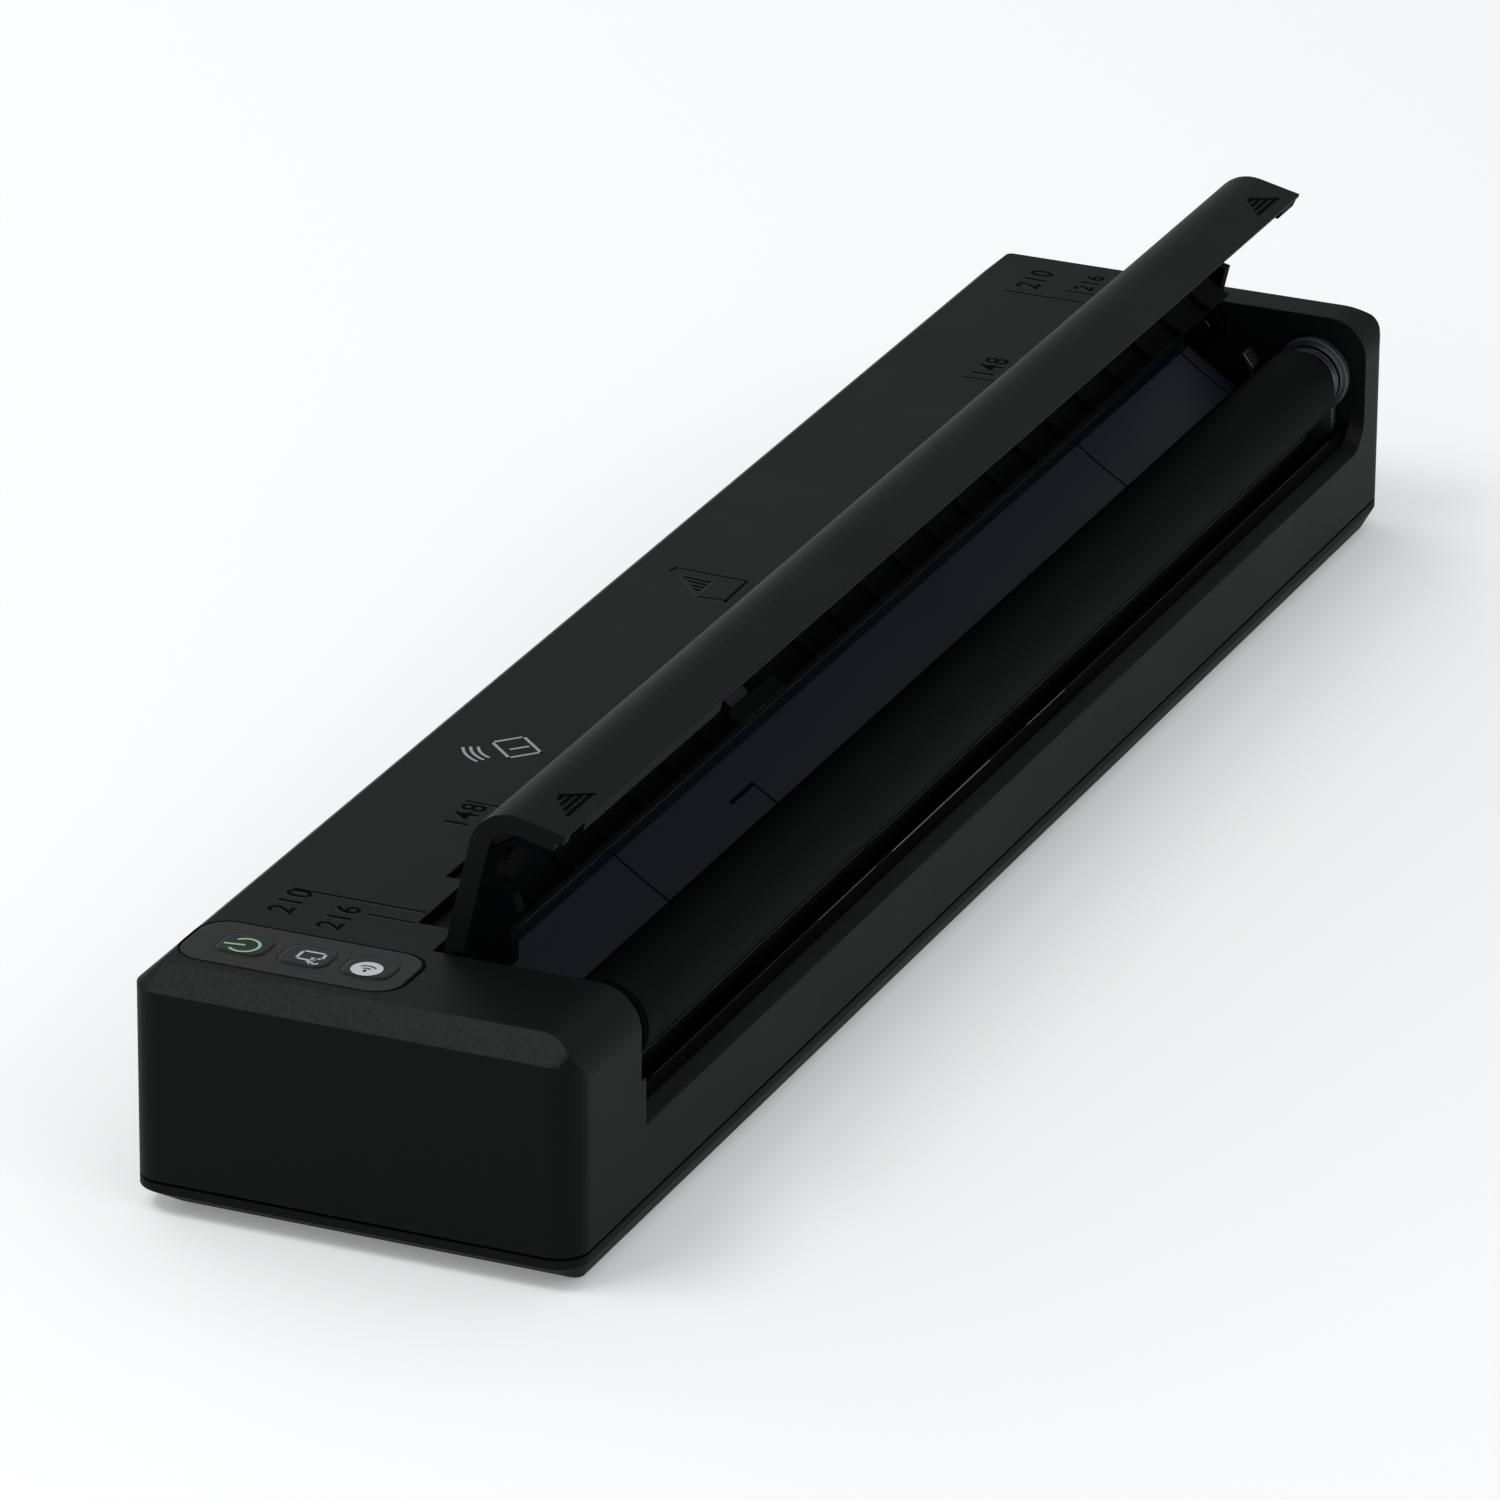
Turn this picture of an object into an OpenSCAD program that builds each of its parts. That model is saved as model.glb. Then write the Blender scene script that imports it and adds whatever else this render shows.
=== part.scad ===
// Portable thermal printer for sheets up to A4 and letter width, standing with its release cover open.
// X runs along the printer, Y from the paper exit in front to the rear, Z up from the table.
// The key block is at the -X end, the drive block at the +X end.

/* [Body] */
// Overall depth
body_w = 55; // [54:0.5:66]
// Overall height of the closed body above the table
body_h = 30; // [29:0.5:38]
// Wall thickness of the housing
wall = 2; // [1.6:0.1:2.2]
// Radius of the upright corners
corner_r = 3.75; // [2.5:0.25:5]
// Width of the block that carries the keys
key_block_w = 17.6; // [17:0.2:24]
// Width of the block that holds the drive gears
drive_block_w = 8.2; // [8:0.1:12]

/* [Paper path] */
// Width of the widest sheet
sheet_w = 216; // [190:1:230]
// Depth of the inlet behind the front edge of the top plate
inlet_d = 4.8; // [4:0.2:6]

/* [Platen roller] */
// Diameter of the rubber
roller_d = 10.2; // [9.6:0.1:10.4]
// Diameter of the steel shaft
shaft_d = 5; // [4:0.1:5.6]

/* [Release cover] */
// Angle at which the cover stands open
open_angle = 77; // [60:1:80]
// Thickness of the cover shell
cover_t = 1.3; // [1:0.1:1.6]
// Spacing of the ribs under the cover
rib_pitch = 9.85; // [8:0.05:14]

/* [Keys] */
// Length of a key, along the depth of the printer
key_l = 6.2; // [5.4:0.1:6.6]
// Width of a key
key_w = 5.2; // [4.4:0.1:6]
// Spacing of the keys
key_pitch = 7.7; // [7.4:0.1:8.6]
// Travel of a key
key_travel = 0.35; // [0.2:0.05:0.45]

/* [Drive] */
// Gear module
gear_m = 0.5; // [0.45:0.01:0.52]

/* [Hidden] */
$fn = 64;

// Shared clearances and the overrun of every cut
over = 1;
sliver = 0.01;
fit = 0.15;
play = 0.3;
running = 0.05;
hull_fn = 32;

// Levels, from the table up
foot_rise = 0.4;
tray_bevel_h = 2.4;
tray_edge_h = 1;
seam_gap = 0.4;
floor_t = 1.6;
tray_z0 = foot_rise;
tray_z1 = tray_z0 + tray_bevel_h;
tray_z2 = tray_z1 + tray_edge_h;
house_z0 = tray_z2 + seam_gap;
floor_z = tray_z0 + floor_t;

// Ends and faces of the body
bay_margin = 6.6;
bay_l = sheet_w + 2 * bay_margin;
body_l = key_block_w + bay_l + drive_block_w;
near_x = -body_l / 2;
far_x = body_l / 2;
front_y = -body_w / 2;
rear_y = body_w / 2;
bay_near_x = near_x + key_block_w;
bay_far_x = far_x - drive_block_w;
bay_mid_x = (bay_near_x + bay_far_x) / 2;

// Base tray
tray_bevel_w = 3.8;
tray_front_bevel_w = 2;
tray_foot_r = 1.2;
tongue_t = 1.2;
tongue_h = 2.7;
tray_inset = wall + fit + tongue_t;
floor_rib_t = 1.2;
floor_rib_h = 1.2;
floor_rib_pitch = 24;

// Rubber feet
foot_l = 14;
foot_w = 6;
foot_sink = 0.6;
foot_inset_x = 24;
foot_inset_front = 7.5;
foot_inset_rear = 12.5;
foot_ys = [front_y + foot_inset_front, rear_y - foot_inset_rear];
foot_xs = [near_x + foot_inset_x, far_x - foot_inset_x];

// Outer form of the housing
chamfer_w = 3;
chamfer_h = 2.75;
least_r = 0.75;
fold_r = 5.2;
skin_t = 1.5;
inner_wall_z = tray_z2 + tongue_h + play;

// Bay over the roller and the low wall in front of it
lip_z = 13;
lip_bevel_h = 0.9;
lip_near_r = 1.5;
lip_far_r = 4;
lip_top_z = lip_z + lip_bevel_h;
step_w = 1.3;
step_bevel_h = 3;
plate_edge_d = 25.5;
plate_edge_y = front_y + plate_edge_d;

// Inlet ramp behind the bay
inlet_side = 0.25;
inlet_y = plate_edge_y + inlet_d;
inlet_step_d = 2.6;
inlet_step_side_share = 0.06;
ramp_t = 1.4;
ramp_drop = 3.2;
ramp_rise = 1.95;
ramp_toe_l = 2.4;
ramp_toe_drop = 0.5;
ramp_bank_drop = 0.25;
ramp_tuck = 1.5;
ramp_y = plate_edge_y;
ramp_z = body_h - ramp_drop;
ramp_toe_y = ramp_y - ramp_toe_l;
ramp_toe_z = ramp_z - ramp_toe_drop;
ramp_bank_y = inlet_y + inlet_step_d;
ramp_bank_z = body_h - ramp_bank_drop;
inlet_mid_x = bay_mid_x - inlet_side;
inlet_x0 = inlet_mid_x - sheet_w / 2;
inlet_x1 = inlet_mid_x + sheet_w / 2;
inlet_step_x0 = inlet_x0 + sheet_w * inlet_step_side_share;
inlet_step_x1 = inlet_x1 - sheet_w * inlet_step_side_share;
partition_t = 1.2;
partition_raise = 6;
partition_z = floor_z + partition_raise;
partition_y = plate_edge_y - partition_t - ramp_toe_l / 2 + fit;

// Room behind the partition, and the battery pack of two round cells in it
room_d = rear_y - wall - partition_y - partition_t;
room_h = body_h - ramp_drop - ramp_t - floor_z;
battery_depth_share = 0.336;
battery_height_share = 0.41;
battery_length_share = 0.585;
battery_gap = 2.9;
battery_raise = 2.4;
battery_end_x = 24.2;
battery_wrap_t = 0.3;
battery_lip_share = 0.31;
battery_r = min(room_d * battery_depth_share, room_h * battery_height_share);
battery_l = bay_l * battery_length_share;
battery_x1 = bay_far_x - battery_end_x;
battery_x0 = battery_x1 - battery_l;
battery_y = rear_y - wall - battery_gap - battery_r;
battery_z = floor_z + battery_raise + battery_r;
saddle_t = 2;
saddle_w_share = 1.67;
saddle_h_share = 0.72;
saddles = 4;

// Screws that hold the tray to the housing
screw_d = 2.2;
screw_l = 11;
screw_head_d = 4.8;
screw_head_h = 1.4;
screw_drive_d = 2.2;
screw_drive_h = 0.8;
screw_sink = 2;
boss_r = 2.6;
boss_raise = 3.2;
boss_top_z = floor_z + boss_raise;
key_screw_inset = 8.5;
key_screw_front = 7.5;
rear_screw_inset = 6.6;
wall_screw_gap = 4.4;
battery_screw_gap = 4.3;
screw_places = [
    [near_x + key_screw_inset, front_y + key_screw_front],
    [bay_near_x + wall_screw_gap, rear_y - rear_screw_inset],
    [battery_x0 - battery_screw_gap, rear_y - rear_screw_inset],
    [battery_x1 + battery_screw_gap, rear_y - rear_screw_inset]
];

// Platen roller and its bushes
roller_inset = 6.8;
roller_drop = 7.55;
roller_y = front_y + roller_inset;
roller_z = body_h - roller_drop;
rubber_near_gap = 5.6;
rubber_far_gap = 6.4;
rubber_x0 = bay_near_x + rubber_near_gap;
rubber_x1 = bay_far_x - rubber_far_gap;
rubber_edge = 0.3;
bush_d = 8.6;
bush_neck_d = 6.6;
bush_near_t = 1;
bush_far_t = 3.3;
plate_t = 1.2;
frame_near_gap = 2.8;
frame_far_gap = 0.9;
frame_x0 = bay_near_x + frame_near_gap;
frame_x1 = bay_far_x - frame_far_gap;

// Print head, heat sink and the springs below them
nip_gap = 0.35;
head_t = 0.8;
head_d = 8.4;
head_lead = 2.2;
sink_t = 2;
sink_d = 12.4;
sink_groove = 0.8;
sink_grooves = 4;
head_near_gap = 5.9;
head_far_gap = 9.3;
head_x0 = bay_near_x + head_near_gap;
head_x1 = bay_far_x - head_far_gap;
head_y0 = roller_y - head_lead;
head_top_z = roller_z - roller_d / 2 - nip_gap;
sink_top_z = head_top_z - head_t;
sink_z = sink_top_z - sink_t;
glaze_w = 1.2;
glaze_h = 0.1;
spring_t = 0.4;
spring_w = 12;
spring_d = 9;
spring_limb = 1.1;
spring_inset = 1.9;
spring_place_shares = [0.14, 0.5, 0.86];

// Mechanism frame, a steel channel that carries the bushes
frame_raise = 4;
frame_z = floor_z + frame_raise;
frame_top_z = frame_z + plate_t;
exit_t = 1.4;
exit_gap = 0.1;
exit_drop = 1;
exit_raise = 1.2;
exit_z0 = inner_wall_z + exit_raise;
exit_y0 = front_y + wall + exit_gap;
exit_y1 = exit_y0 + exit_t;
frame_y0 = exit_y1 + fit;
frame_y1 = partition_y - fit;
cheek_r = 5;
cheek_d = 7.8;
cheek_drop = 2.55;
frame_screw_d = 2;
frame_screw_l = 4;
frame_screw_head_d = 3.6;
frame_screw_head_h = 1.1;
frame_pillar_r = 2.4;
frame_screw_side = 11;
frame_screw_front = 3.6;
frame_screw_rear = 7.6;
frame_screw_places = [
    [frame_x0 + frame_screw_side, frame_y0 + frame_screw_front],
    [frame_x0 + frame_screw_side, frame_y1 - frame_screw_rear],
    [frame_x1 - frame_screw_side, frame_y0 + frame_screw_front],
    [frame_x1 - frame_screw_side, frame_y1 - frame_screw_rear]
];

// Exit guide behind the low wall
exit_near_gap = 1.7;
exit_far_gap = 0.7;
exit_lead = 0.5;
exit_top_z = head_top_z - exit_drop;

// Paper guide, a hollow curve from the ramp to the nip
guide_t = 1.3;
guide_gap = 0.1;
guide_lead = 8.1;
guide_dip = 0.95;
guide_rear_drop = 3.95;
guide_rear_run = 1.3;
guide_turn = 2.2;
guide_slope = 40;
guide_steps = 6;
guide_seam = 0.4;
guide_near_gap = 3.7;
guide_far_gap = 7.3;
guide_end_w = 2.7;
guide_seam_shares = [0.174, 0.834];
guide_x0 = bay_near_x + guide_near_gap;
guide_x1 = bay_far_x - guide_far_gap;
guide_end_x = guide_x1 - guide_end_w;
guide_seam_a = guide_x0 + (guide_end_x - guide_x0) * guide_seam_shares[0];
guide_seam_b = guide_x0 + (guide_end_x - guide_x0) * guide_seam_shares[1];
guide_rear = [ramp_toe_y - guide_gap, ramp_toe_z];
guide_bend = [guide_rear[0] - guide_rear_run, body_h - guide_rear_drop];
guide_front = [roller_y + guide_lead, roller_z - guide_dip];
guide_control = guide_bend - guide_turn * [cos(guide_slope), sin(guide_slope)];
leg_w = 4;
leg_d = 2.4;
leg_inset = 3.4;
leg_place_shares = [0.12, 0.88];
leg_top_share = 0.4;
two_leg_l = 16;
guide_rib_t = 1;
guide_rib_drop = 3;
guide_rib_shares = [0.15, 0.85];
tongue_slit = 0.4;
tongue_place_share = 0.32;
tongue_x = guide_x0 + (guide_end_x - guide_x0) * tongue_place_share;
tongue_w = 6.8;
tongue_run_share = 0.5;
slit_depth = 6.9;
sensor_w = 6;
sensor_d = 2.6;
sensor_gap = 0.3;
clip_t = 0.4;
clip_w = 2.6;
clip_gap = 1.1;
clip_foot_l = 4;
clip_lead = 6.4;
clip_rise = 1.6;
clip_bend = 1.6;
clip_hole_d = 1.1;

// Hinge and release cover, given as it lies when closed
hinge_inset = 21.93;
hinge_drop = 3.1;
hinge_y = front_y + hinge_inset;
hinge_z = body_h - hinge_drop;
knuckle_r = 2.9;
pin_d = 2.5;
pin_reach = 1.6;
cover_near_gap = 0.5;
cover_far_gap = 0.7;
cover_x0 = bay_near_x + cover_near_gap;
cover_x1 = bay_far_x - cover_far_gap;
front_plate_t = 1.2;
cover_drop = 10.76;
cover_lip_z = body_h - cover_drop;
lip_edge_t = 0.45;
lip_taper_h = 2.2;
band_t = 2.35;
band_w = 1.6;
band_groove = 0.15;
band_rise = 1;
band_end_y = hinge_y - knuckle_r - band_groove;
pull_x0 = 5.4;
pull_l = 38;
pull_t = 1.65;
pull_h = 0.95;
pull_slant = 3;
hook_w = 3.2;
hook_h = 1.5;
hook_t = 0.8;
hook_gap = 2;

// Moulding inside the cover
inner_plate_t = 1.8;
face_gap = 0.9;
face_r = roller_d / 2 + face_gap;
face_t = 1.2;
nose_h = 0.4;
back_t = 1;
rib_t = 1.2;
inner_rear_gap = 1.03;
inner_front_lead = 2.5;
tip_lead = 6.3;
tip_rise = 0.15;
inner_rear_drop = 2.6;
inner_top_z = body_h - cover_t;
inner_far_gap = 8.4;
rib_side = 4.75;
web_d = 9;
web_drop = 3;
strut_shares = [
    [-0.886, -0.31],
    [-0.567, -0.146],
    [-0.489, -0.201],
    [-0.407, -0.182],
    [-0.188, -0.233],
    [-0.08, -0.13]
];
hole_centre_shares = [-0.722, -0.16];
hole_r = 2.8;
hole_edge_shares = [[-0.863, -0.251], [-0.85, -0.155], [-0.722, -0.16]];
strut_line_shares = [[-0.95, -0.309], [-0.5, -0.02]];
pad_place_share = 0.303;
pad_x = bay_near_x + bay_l * pad_place_share;
pad_l = 13;
pad_t = 0.45;
pad_r = 0.9;
pad_h = 2.3;
pad_angle = 10;
leaf_side = 2;
leaf_x = pad_x - leaf_side;
leaf_w = 5;
leaf_t = 0.25;
leaf_angle = 29;
leaf_span = 12;

// Control panel, keys, mat and key board
panel_t = 1;
panel_end = 2.45;
panel_side = 1.6;
panel_l = 2 * (key_pitch + panel_end) + key_l;
panel_w = key_w + 2 * panel_side;
panel_r = 3.5;
panel_inset = 10.7;
panel_rear = 3.5;
panel_x = near_x + panel_inset;
panel_y = rear_y - panel_rear - panel_l / 2;
key_side = 0.4;
key_lead = 0.85;
key_x = panel_x - key_side;
key_mid_y = panel_y - key_lead;
key_r = 1.6;
key_rise = 0.5;
key_crown = 0.3;
key_flange = 0.9;
key_flange_t = 0.7;
key_seat = 0.1;
key_stem_r = 1;
key_stem_h = 0.9;
key_flange_z1 = body_h - wall - key_seat;
key_stem_z = key_flange_z1 - key_flange_t - key_stem_h;
mat_z1 = key_stem_z - key_travel - play;
mat_t = 0.6;
dome_h = 0.5;
dome_r = 2.2;
board_t = 1;
key_board_w = 10;
key_board_z = mat_z1 - dome_h - mat_t - board_t;
key_boss_r = 1.4;
key_boss_edge = 1.9;
key_boss_span = 2 * (key_pitch + play + fit + key_boss_r + play) + key_l;
key_boss_ys = [key_mid_y - key_boss_span / 2, key_mid_y + key_boss_span / 2];
key_board_y0 = key_boss_ys[0] - key_boss_edge;
key_board_y1 = key_boss_ys[1] + key_boss_edge;

// Main board, its components and the charging socket
main_board_gap = 9;
main_board_depth_share = 0.718;
main_board_d = room_d * main_board_depth_share;
main_board_raise = 9.2;
main_board_x0 = bay_near_x + main_board_gap;
main_board_x1 = battery_x0 - battery_screw_gap - boss_r - play;
main_board_y1 = rear_y - wall - play;
main_board_y0 = main_board_y1 - main_board_d;
main_board_z = floor_z + main_board_raise;
main_board_post_r = 2;
main_board_post_edge = 2.4;
socket_w = 8.9;
socket_h = 3.2;
socket_l = 7.4;
socket_r = 1.5;
socket_wall_t = 0.3;
socket_place_share = 0.2;
socket_x = main_board_x0 + (main_board_x1 - main_board_x0) * socket_place_share;
socket_sink = 0.5;
socket_tab_t = 0.7;
chip_shares = [[0.42, 0.45, 0.18], [0.68, 0.3, 0.11], [0.7, 0.72, 0.09]];
chip_h = 1.2;
can_r = 2.6;
can_h = 6;
can_shares = [[0.88, 0.3], [0.88, 0.65]];
plug_l = 12;
plug_w = 3.4;
plug_h = 2.4;

// Drive gears in a row from the motor to the roller
platen_teeth = 16;
pinion_teeth = 12;
idler_teeth_share = 0.2727;
idler_teeth = round(body_w / gear_m * idler_teeth_share);
mesh_gap = 0.1;
addendum = 0.85;
dedendum = 1.2;
backlash = 0.12;
pressure = 20;
flank_steps = 2;
gear_plate_t = 0.8;
gear_gap = 0.5;
face_w = drive_block_w - skin_t - gear_plate_t - gear_gap - tray_inset - play;
axle_d = 2.5;
axle_over = 0.3;
hub_w = 0.3;
gear_x0 = bay_far_x + skin_t + gear_plate_t + gear_gap;
gear_x1 = gear_x0 + face_w;
idler_a_dir = -36;
idler_b_dir = 7;
pinion_dir = -23.4;
idler_a_at = [roller_y, roller_z]
    + mesh_span(platen_teeth, idler_teeth) * [cos(idler_a_dir), sin(idler_a_dir)];
idler_b_at = idler_a_at + mesh_span(idler_teeth, idler_teeth) * [cos(idler_b_dir), sin(idler_b_dir)];
pinion_at = idler_b_at + mesh_span(idler_teeth, pinion_teeth) * [cos(pinion_dir), sin(pinion_dir)];
idler_a_turn = mesh_turn(0, platen_teeth, idler_teeth, idler_a_dir);
idler_b_turn = mesh_turn(idler_a_turn, idler_teeth, idler_teeth, idler_b_dir);
pinion_turn = mesh_turn(idler_b_turn, idler_teeth, pinion_teeth, pinion_dir);
motor_gap = 1.06;
motor_rear_gap = 3;
motor_room_h = pinion_at[1] - floor_z - floor_rib_h - motor_gap;
motor_room_d = rear_y - wall - motor_rear_gap - pinion_at[0];
motor_d = 2 * min(motor_room_h, motor_room_d);
motor_l = 15;
motor_flange_t = 0.8;
motor_ear_r = 2.4;
motor_ear_over = 0.6;
motor_ear_span = motor_d + motor_ear_over;
motor_boss_share = 0.333;
motor_boss_d = motor_d * motor_boss_share;
motor_shaft_d = 2;
motor_bore_l = 8;
gear_plate_margin = 2.4;
gear_plate_end = 6;

// Distance between the axes of two meshing gears
function mesh_span(a, b) = gear_m * (a + b) / 2 + mesh_gap;

// Angle at which a gear stands so that it meshes with the one before it
function mesh_turn(turn, a, b, dir) = dir + 180 - (0.5 - (dir - turn) * a / 360) * 360 / b;

// Half the angle of an involute tooth at radius r
function inv(a) = tan(a) * 180 / PI - a;
function tooth_half(teeth, r) =
    let (pitch_r = gear_m * teeth / 2, base_r = pitch_r * cos(pressure))
    90 / teeth - backlash / pitch_r * 90 / PI + inv(pressure) - inv(acos(min(1, base_r / r)));

// Outline of a spur gear, root to tip and back for each tooth
function tooth_points(teeth, i) =
    let (
        root_r = gear_m * (teeth / 2 - dedendum),
        tip_r = gear_m * (teeth / 2 + addendum),
        base_r = gear_m * teeth / 2 * cos(pressure),
        start_r = max(root_r, base_r),
        mid = 360 * i / teeth
    )
    concat(
        [polar(root_r, mid - tooth_half(teeth, start_r))],
        [for (k = [0 : flank_steps]) let (r = start_r + (tip_r - start_r) * k / flank_steps)
            polar(r, mid - tooth_half(teeth, r))],
        [for (k = [flank_steps : -1 : 0]) let (r = start_r + (tip_r - start_r) * k / flank_steps)
            polar(r, mid + tooth_half(teeth, r))],
        [polar(root_r, mid + tooth_half(teeth, start_r))]
    );
function polar(r, a) = r * [cos(a), sin(a)];

// Point at share t of the hollow curve of the paper guide
function curve(t) = (1 - t) * (1 - t) * guide_bend + 2 * t * (1 - t) * guide_control + t * t * guide_front;

// Point of the closed cover, from shares of the cover's depth behind the hinge axis
function cover_point(p) = [hinge_y, hinge_z] + hinge_inset * p;

// Outline drawn in Y and Z, extruded from x0 to x1
module x_prism(x0, x1) {
    translate([x0, 0, 0])
    rotate([90, 0, 90])
    linear_extrude(x1 - x0) children();
}

// Rod along X
module x_rod(d, x0, x1, at) {
    translate([x0, at[0], at[1]])
    rotate([0, 90, 0])
    cylinder(d = d, h = x1 - x0);
}

// Rectangle between two corners
module span(a, b) {
    translate(a) square(b - a);
}

// Rounded rectangle between two corners
module round_span(a, b, r) {
    span(a + [r, 0], b - [r, 0]);
    span(a + [0, r], b - [0, r]);
    for (x = [a[0] + r, b[0] - r], y = [a[1] + r, b[1] - r]) translate([x, y]) circle(r);
}

// Plan of the body, drawn in by a margin
module plan(inset, r) {
    round_span([near_x + inset, front_y + inset], [far_x - inset, rear_y - inset], r);
}

// Housing form: three chamfered top edges and a rounded front edge
module block(inset, z0, z1) {
    r = max(corner_r - inset, least_r);
    fr = fold_r - inset;
    y0 = front_y + inset;
    shrink = inset * (norm([chamfer_w, chamfer_h]) - chamfer_w - chamfer_h);
    cw = chamfer_w + shrink / chamfer_h;
    ch = chamfer_h + shrink / chamfer_w;
    difference() {
        hull() {
            translate([0, 0, z0]) linear_extrude(z1 - ch - z0) plan(inset, r, $fn = hull_fn);
            translate([0, 0, z1 - sliver]) linear_extrude(sliver)
            round_span(
                [near_x + inset + cw, y0],
                [far_x - inset - cw, rear_y - inset - cw],
                least_r, $fn = hull_fn
            );
        }
        x_prism(near_x - over, far_x + over) difference() {
            span([y0 - over, z1 - fr], [y0 + fr, z1 + over]);
            translate([y0 + fr, z1 - fr]) circle(fr);
        }
    }
}

// Rectangle with its upper front corner rounded
module fold(y0, z0, y1, z1, r) {
    span([y0, z0], [y1, z1 - r]);
    span([y0 + r, z0], [y1, z1]);
    translate([y0 + r, z1 - r]) circle(r);
}

module base_tray() color("#1e1f21") {
    difference() {
        union() {
            hull() {
                translate([0, 0, tray_z0]) linear_extrude(sliver)
                round_span(
                    [near_x + tray_bevel_w, front_y + tray_front_bevel_w],
                    [far_x - tray_bevel_w, rear_y - tray_bevel_w],
                    tray_foot_r, $fn = hull_fn
                );
                translate([0, 0, tray_z1]) linear_extrude(tray_edge_h) plan(0, corner_r, $fn = hull_fn);
            }
            translate([0, 0, tray_z1]) linear_extrude(tray_edge_h + tongue_h)
            plan(wall + fit, max(corner_r - wall, least_r));
        }
        translate([0, 0, floor_z]) linear_extrude(body_h) plan(tray_inset, least_r);
        tray_sockets();
    }
    difference() {
        union() {
            tray_ribs();
            for (p = screw_places)
                translate([p[0], p[1], floor_z - fit]) cylinder(r = boss_r, h = boss_raise + fit);
            for (p = frame_screw_places)
                translate([p[0], p[1], floor_z - fit]) cylinder(r = frame_pillar_r, h = frame_raise + fit);
        }
        tray_sockets();
    }
    for (x = [main_board_x0 + main_board_post_edge, main_board_x1 - main_board_post_edge],
        y = [main_board_y0 + main_board_post_edge, main_board_y1 - main_board_post_edge])
        translate([x, y, floor_z - fit]) cylinder(r = main_board_post_r, h = main_board_raise + fit);
}

// Recesses for the feet and holes for both sets of screws
module tray_sockets() {
    for (x = foot_xs, y = foot_ys) translate([x, y, tray_z0 - over])
        linear_extrude(foot_sink + over) foot_outline(fit);
    for (p = screw_places) translate([p[0], p[1], tray_z0 - over]) {
        cylinder(d = screw_head_d + play, h = screw_sink + over);
        cylinder(d = screw_d + play, h = boss_top_z + over);
    }
    for (p = frame_screw_places) translate([p[0], p[1], frame_top_z - frame_screw_l - fit])
        cylinder(d = frame_screw_d, h = frame_screw_l + over);
}

// Floor ribs and the saddles under the battery
module tray_ribs() {
    half = floor((body_l / 2 - tray_inset) / floor_rib_pitch);
    for (i = [-half : half - 1]) translate([i * floor_rib_pitch, front_y + tray_inset - fit, floor_z - fit])
        cube([floor_rib_t, body_w - 2 * tray_inset + 2 * fit, floor_rib_h + fit]);
    difference() {
        for (i = [0 : saddles - 1])
            translate([battery_x0 + battery_l * (i + 1 / 2) / saddles, battery_y, floor_z - fit])
            translate([-saddle_t / 2, -battery_r * saddle_w_share / 2, 0])
            cube([saddle_t, battery_r * saddle_w_share, battery_r * saddle_h_share + fit]);
        x_rod(2 * (battery_r + fit), battery_x0 - over, battery_x1 + over, [battery_y, battery_z]);
    }
}

module foot_outline(margin) {
    round_span(
        [-foot_l / 2 - margin, -foot_w / 2 - margin],
        [foot_l / 2 + margin, foot_w / 2 + margin],
        foot_w / 2 + margin - sliver
    );
}

module rubber_feet() color("#17181a")
    for (x = foot_xs, y = foot_ys) translate([x, y, 0]) linear_extrude(foot_rise + foot_sink) foot_outline(0);

module housing_screws() color("#8d9094")
    for (p = screw_places) translate([p[0], p[1], tray_z0 + screw_sink - screw_head_h]) difference() {
        union() {
            cylinder(d = screw_head_d, h = screw_head_h);
            cylinder(d = screw_d, h = screw_l);
        }
        translate([0, 0, -over]) cylinder(d = screw_drive_d, h = screw_drive_h + over, $fn = 6);
    }

module upper_housing() color("#2d2e30") {
    difference() {
        block(0, house_z0, body_h);
        intersection() {
            block(wall, house_z0 - over, body_h - wall);
            union() {
                slab(near_x, bay_near_x - wall);
                slab(bay_near_x, bay_far_x);
                slab(bay_far_x + skin_t, far_x);
            }
        }
        translate([0, 0, house_z0 - over]) linear_extrude(inner_wall_z - house_z0 + over)
        plan(wall, max(corner_r - wall, least_r));
        bay_cut();
        inlet_cut();
        panel_cut();
        drive_holes();
        socket_cut();
    }
    near_step();
    ramp();
    housing_bosses();
}

// Everything between two cross planes
module slab(x0, x1) {
    translate([x0, front_y, 0]) cube([x1 - x0, body_w, body_h]);
}

// Bay over the roller, open to the top and, above a bevelled lip, to the front
module bay_cut() {
    translate([bay_near_x, front_y + wall, house_z0])
    cube([bay_far_x - bay_near_x, plate_edge_y - front_y - wall, body_h]);
    hull() {
        y_slice(front_y - over, lip_z - lip_bevel_h * over / wall);
        y_slice(front_y + wall, lip_top_z);
    }
}

// Thin upright slice of the front opening with its rounded lower corners
module y_slice(y, z) {
    translate([0, y + sliver, 0]) rotate([90, 0, 0]) linear_extrude(sliver) {
        translate([bay_near_x + lip_near_r, z + lip_near_r]) circle(lip_near_r, $fn = hull_fn);
        translate([bay_far_x - lip_far_r, z + lip_far_r]) circle(lip_far_r, $fn = hull_fn);
        span([bay_near_x, z + lip_near_r], [bay_far_x - lip_far_r, body_h + over]);
        span([bay_near_x + lip_near_r, z + lip_far_r], [bay_far_x, body_h + over]);
    }
}

// Inlet, deeper along its middle
module inlet_cut() {
    z0 = body_h - wall - over;
    translate([inlet_x0, plate_edge_y - over, z0])
        cube([inlet_x1 - inlet_x0, inlet_d + over, wall + 2 * over]);
    translate([inlet_step_x0, plate_edge_y, z0])
    cube([inlet_step_x1 - inlet_step_x0, inlet_d + inlet_step_d, wall + 2 * over]);
}

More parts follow.
